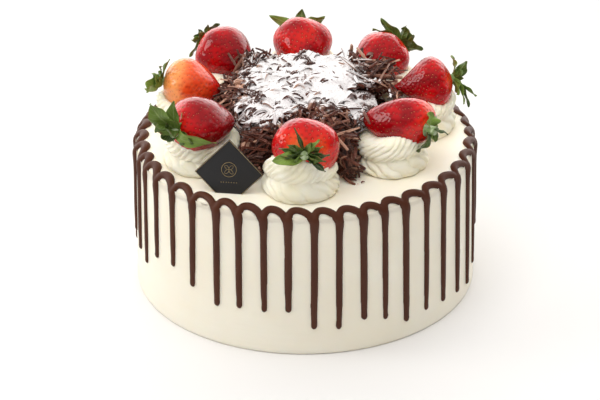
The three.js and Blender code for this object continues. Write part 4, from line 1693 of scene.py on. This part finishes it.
    def tops(self, flat: np.ndarray, under: Sequence[Piece]) -> np.ndarray:
        """How high some pieces reach at places seen from above, or the cake's top where there are none."""
        trees = [skin_of(thing) for thing in under]
        down = Vector((0, 0, -1))
        found = []
        for x, y in flat:
            hits = [tree.ray_cast(Vector((x, y, 200)) * MM, down)[0] for tree in trees]
            found.append(max((hit.z / MM for hit in hits if hit is not None), default=self.form.height))
        return np.array(found)

    def build_grains(self, under: Sequence[Piece]) -> Piece:
        """Loose clumps of sugar on the shavings and the drift."""
        draw = np.random.default_rng(61)
        flat = draw.uniform(*self.drift_field, (4 * self.grain_count, 2))
        fall = self.sugared(np.column_stack([flat, np.zeros(len(flat))]))
        flat = flat[fall > draw.uniform(0.2, 1.2, len(flat))][:self.grain_count]
        bpy.ops.mesh.primitive_ico_sphere_add(subdivisions=1, radius=MM)
        model = take("grain_model")
        sizes = draw.uniform(0.2, 0.5, (len(flat), 1)) * draw.uniform(0.7, 1.2, (len(flat), 3))
        frames = np.eye(3)[None] * sizes[:, None, :]
        piece = copies("icing_sugar_grains", model, frames, np.column_stack([flat, self.tops(flat, under)]))
        smooth(piece)
        return piece

    def build_crumbs(self, solids: Solids) -> Piece:
        """Chocolate crumbs that fell on the icing beside the heap."""
        draw = np.random.default_rng(62)
        places, frames = [], []
        flake = next(kind for kind in self.kinds if kind.name == "flake")
        spots = [np.array([27.8, -63.0])]
        while len(places) < self.crumb_count:
            angle = draw.uniform(0, FULL_TURN)
            reach = self.foot(angle) + draw.uniform(1, 9)
            x, y = spots.pop() if spots else (reach * math.sin(angle), -reach * math.cos(angle))
            spot = np.array([x, y, self.form.height + 0.7])
            too_far = math.hypot(x, y) > self.form.flat_radius - 8
            if too_far or not self.free(spot, np.array([1.0, 0, 0]), 3, solids):
                continue
            turn = draw.uniform(0, FULL_TURN)
            size = draw.uniform(0.12, 0.3) if places else 0.55
            lie = Matrix.Rotation(turn, 3, "Z") @ Matrix.Rotation(draw.uniform(-0.3, 0.3), 3, "X")
            frames.append(np.array(lie) * (size, size * draw.uniform(0.6, 1.3), min(3 * size, 1.0)))
            places.append(spot - (0, 0, 0.2))
        return copies("chocolate_crumbs", self.shaving_model(flake), np.array(frames), np.array(places))

    def bare(self, point: Vector) -> bool:
        """Whether no drift lies at a point."""
        return self.sugared(np.array([[point.x, point.y, 0.0]]))[0] < self.drift_from

    def dress(self, finishes: Finishes, solids: Solids) -> None:
        """Gives the heap its finishes."""
        core = self.build_core()
        store(core, "sugared", 0.6 * self.sugared(corners(core)))
        shavings = self.build_shavings(solids)
        sugar = self.build_sugar([core, *shavings])
        grains = self.build_grains([core, *shavings, sugar])
        crumbs = self.build_crumbs(solids)
        store(crumbs, "sugared", np.zeros(len(crumbs.data.vertices)))
        for piece in [core, *shavings]:
            hand_over(piece, finishes.shavings, ["shavings_heap"])
        hand_over(sugar, finishes.sugar, ["shavings_heap"])
        hand_over(grains, finishes.sugar)
        hand_over(crumbs, finishes.shavings)


# ------------------------------------------------------------------ plaque


@dataclass
class Plaque:
    """A small square card that stands on its corner in the cream."""

    side: float = 28.3
    thickness: float = 1.0
    sunk: float = 8.0
    middle: tuple[float, float] = (-44.0, -77.0)
    turn: float = -8.0
    lean: float = 12.0
    ring_radius: float = 4.3
    ring_height: float = 2.2
    dots_height: float = -5.4

    @property
    def half_diagonal(self) -> float:
        """From the card's middle to its corners."""
        return self.side / math.sqrt(2)

    @property
    def stand(self) -> np.ndarray:
        """Where the card stands: its middle, with its face along -Y."""
        foot = Matrix.Translation((*self.middle, IcedForm.height))
        raised = Matrix.Translation((0, 0, self.half_diagonal - self.sunk))
        return np.array(foot @ (turned(self.turn, "Z") @ turned(-self.lean, "X")) @ raised)

    def settle(self, piece: Piece) -> None:
        """Puts a piece that was made flat at the origin, facing +Z, on the card's face."""
        whole = self.stand @ np.array(turned(90, "X"))
        reshape(piece, lambda points: carry(points, whole))

    def build_card(self) -> Piece:
        """The card itself, its edges barely rounded."""
        bpy.ops.mesh.primitive_cube_add(size=MM)
        card = take("plaque_card")
        reshape(card, lambda points: points * (self.side, self.side, self.thickness))
        bpy.ops.transform.rotate(value=math.radians(45), orient_axis="Z", center_override=(0, 0, 0))
        bpy.ops.object.transform_apply(location=False, rotation=True, scale=False)
        finish_with(card, "BEVEL", width=0.18 * MM, segments=2)
        self.settle(card)
        smooth(card, 40)
        return card

    def line(self, name: str, points: Sequence[tuple[float, float]], half: float = 0.17) -> Piece:
        """A fine raised line on the card's face, closed to a loop."""
        bpy.ops.curve.primitive_nurbs_path_add(radius=MM)
        piece = take(name)
        piece.data.splines.clear()
        spline = piece.data.splines.new("POLY")
        spline.points.add(len(points) - 1)
        for point, (x, y) in zip(spline.points, points):
            point.co = (x * MM, y * MM, (self.thickness / 2 + 0.02) * MM, 1)
        spline.use_cyclic_u = True
        piece.data.bevel_depth = half * MM
        piece.data.bevel_resolution = 1
        hold(piece)
        bpy.ops.object.convert(target="MESH")
        return take(name)

    @staticmethod
    def oval(x: float, y: float, wide: float, high: float, count: int) -> list[tuple[float, float]]:
        """The points of an oval round a middle, by its half-width and half-height."""
        turns = np.linspace(0, FULL_TURN, count, endpoint=False)
        return [(x + wide * math.cos(turn), y + high * math.sin(turn)) for turn in turns]

    def build_ornament(self) -> Piece:
        """A plain ring with four petals, a rule of dots below it, and a line round the card's edge."""
        edge, radius, up = self.half_diagonal - 0.45, self.ring_radius, self.ring_height
        lines = [self.line("edge_line", [(0, -edge), (edge, 0), (0, edge), (-edge, 0)], 0.2)]
        lines.append(self.line("ring", self.oval(0, up, radius, radius, 40)))
        for i in range(4):
            a = i * math.pi / 2 + math.pi / 4
            petal = [
                (u * math.cos(a) - v * math.sin(a), up + u * math.sin(a) + v * math.cos(a))
                for u, v in self.oval(1.75, 0, 1.55, 0.85, 18)
            ]
            lines.append(self.line(f"petal_{i}", petal, 0.13))
        for i in range(7):
            dot = self.oval((i - 3) * 1.5, self.dots_height, 0.18, 0.18, 6)
            lines.append(self.line(f"dot_{i}", dot, 0.16))
        piece = join("plaque_ornament", lines)
        self.settle(piece)
        smooth(piece, 60)
        return piece

    def dress(self, finishes: Finishes) -> None:
        """Gives card and ornament their finishes."""
        hand_over(self.build_card(), finishes.card, ["plaque"])
        hand_over(self.build_ornament(), finishes.gold)


# ------------------------------------------------------------------ studio


@dataclass(frozen=True)
class Softbox:
    """One soft light."""

    name: str
    at: tuple[float, float, float]
    size: tuple[float, float]
    power: float
    colour: tuple[float, float, float] = (1.0, 1.0, 1.0)
    round_: bool = False
    mirrored: bool = True


@dataclass
class Studio:
    """Camera, soft lights and the pale floor."""

    lens: float = 142.53
    away: float = 1.48118
    above: float = 29.879
    look_down: float = 28.282
    yaw: float = -0.14
    roll: float = -0.331
    aim: tuple[float, float, float] = (0.0, 0.0, 0.08)
    wall: float = 0.4
    front: float = 0.34
    right_share: float = 0.45
    ceiling: float = 0.7
    backdrop: float = 2.9
    lights: tuple[Softbox, ...] = (
        Softbox("key", (-1.235, -0.065, 0.74), (0.62, 0.62), 4.8, (1.0, 0.99, 0.98), True),
        Softbox("strip", (1.1, 0.04, 0.72), (0.16, 0.8), 0.3),
        Softbox("overhead", (-0.08, -0.38, 1.4), (1.2, 1.2), 11.5, mirrored=False),
    )

    def set_camera(self) -> None:
        """The camera of the photograph's view."""
        above, down, yaw, roll = (math.radians(v) for v in (self.above, self.look_down, self.yaw, self.roll))
        forward = Vector((math.sin(yaw) * math.cos(down), math.cos(yaw) * math.cos(down), -math.sin(down)))
        level = Vector((math.cos(yaw), -math.sin(yaw), 0))
        right, up = rolled(level, level.cross(forward), roll)
        bpy.ops.object.camera_add()
        camera = bpy.context.active_object
        camera.name = "camera"
        camera.matrix_world = Matrix((
            (right.x, up.x, -forward.x, 0),
            (right.y, up.y, -forward.y, -self.away * math.cos(above)),
            (right.z, up.z, -forward.z, self.away * math.sin(above)),
            (0, 0, 0, 1),
        ))
        camera.data.lens = self.lens
        camera.data.sensor_width = 36
        camera.data.clip_end = 20
        bpy.context.scene.camera = camera

    def set_lights(self) -> None:
        """The softboxes and the white room."""
        for box in self.lights:
            bpy.ops.object.light_add(type="AREA", location=box.at)
            lamp = bpy.context.active_object
            lamp.name = f"softbox_{box.name}"
            lamp.data.shape = "ELLIPSE" if box.round_ else "RECTANGLE"
            lamp.data.size, lamp.data.size_y = box.size
            lamp.data.energy = box.power
            lamp.data.color = box.colour
            lamp.visible_glossy = box.mirrored
            towards = Vector(self.aim) - Vector(box.at)
            lamp.rotation_euler = towards.to_track_quat("-Z", "Y").to_euler()
        world = bpy.data.worlds.new("white room")
        bpy.context.scene.world = world
        world.use_nodes = True
        desk = Desk(world.node_tree)
        way = desk.put("ShaderNodeSeparateXYZ", {0: desk.put("ShaderNodeTexCoord").outputs["Generated"]})
        wall = desk.spread(way.outputs["Y"], -0.8, 0.0, self.front, self.wall)
        wall = desk.times(wall, desk.spread(way.outputs["X"], 0.2, 0.8, 1.0, self.right_share))
        above = desk.spread(way.outputs["Z"], 0.5, 0.8)
        ceiling = desk.plus(wall, desk.times(above, desk.minus(self.ceiling, wall)))
        behind = desk.spread(way.outputs["Y"], 0.2, 0.7)
        low = desk.spread(way.outputs["Z"], 0.45, 0.75, 1.0, 0.0)
        share = desk.times(behind, low)
        backdrop = desk.times(share, desk.minus(self.backdrop, ceiling))
        strength = desk.plus(ceiling, backdrop)
        desk.feed(world.node_tree.nodes["Background"], {"Color": (1.0, 0.99, 0.975, 1), "Strength": strength})

    def set_floor(self, finishes: Finishes) -> None:
        """The floor that the cake stands on."""
        bpy.ops.mesh.primitive_plane_add(size=14)
        floor = take("floor")
        floor.data.materials.append(finishes.floor)

    def set_colours(self) -> None:
        """A plain view of the light, without a film look."""
        bpy.context.scene.view_settings.view_transform = "Standard"


def main() -> None:
    """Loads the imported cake, dresses it and sets the studio."""
    logging.basicConfig(level=logging.INFO, format="%(message)s")
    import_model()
    bpy.ops.object.select_all(action="DESELECT")
    form = IcedForm()
    finishes = Finishes()
    studio = Studio()
    studio.set_camera()
    IcedSponge(form).dress(finishes)
    ChocolateDrips(form).dress(finishes)
    solids = {}
    for place in PLACES:
        berry = Strawberry(place).dress(finishes)
        Calyx(place).dress(finishes, berry)
        cream = Rosette(place).dress(finishes, berry)
        solids[place.number] = [skin_of(berry), skin_of(cream)]
    ShavingsHeap(form).dress(finishes, solids)
    Plaque().dress(finishes)
    studio.set_lights()
    studio.set_floor(finishes)
    studio.set_colours()


if __name__ == "__main__":
    main()
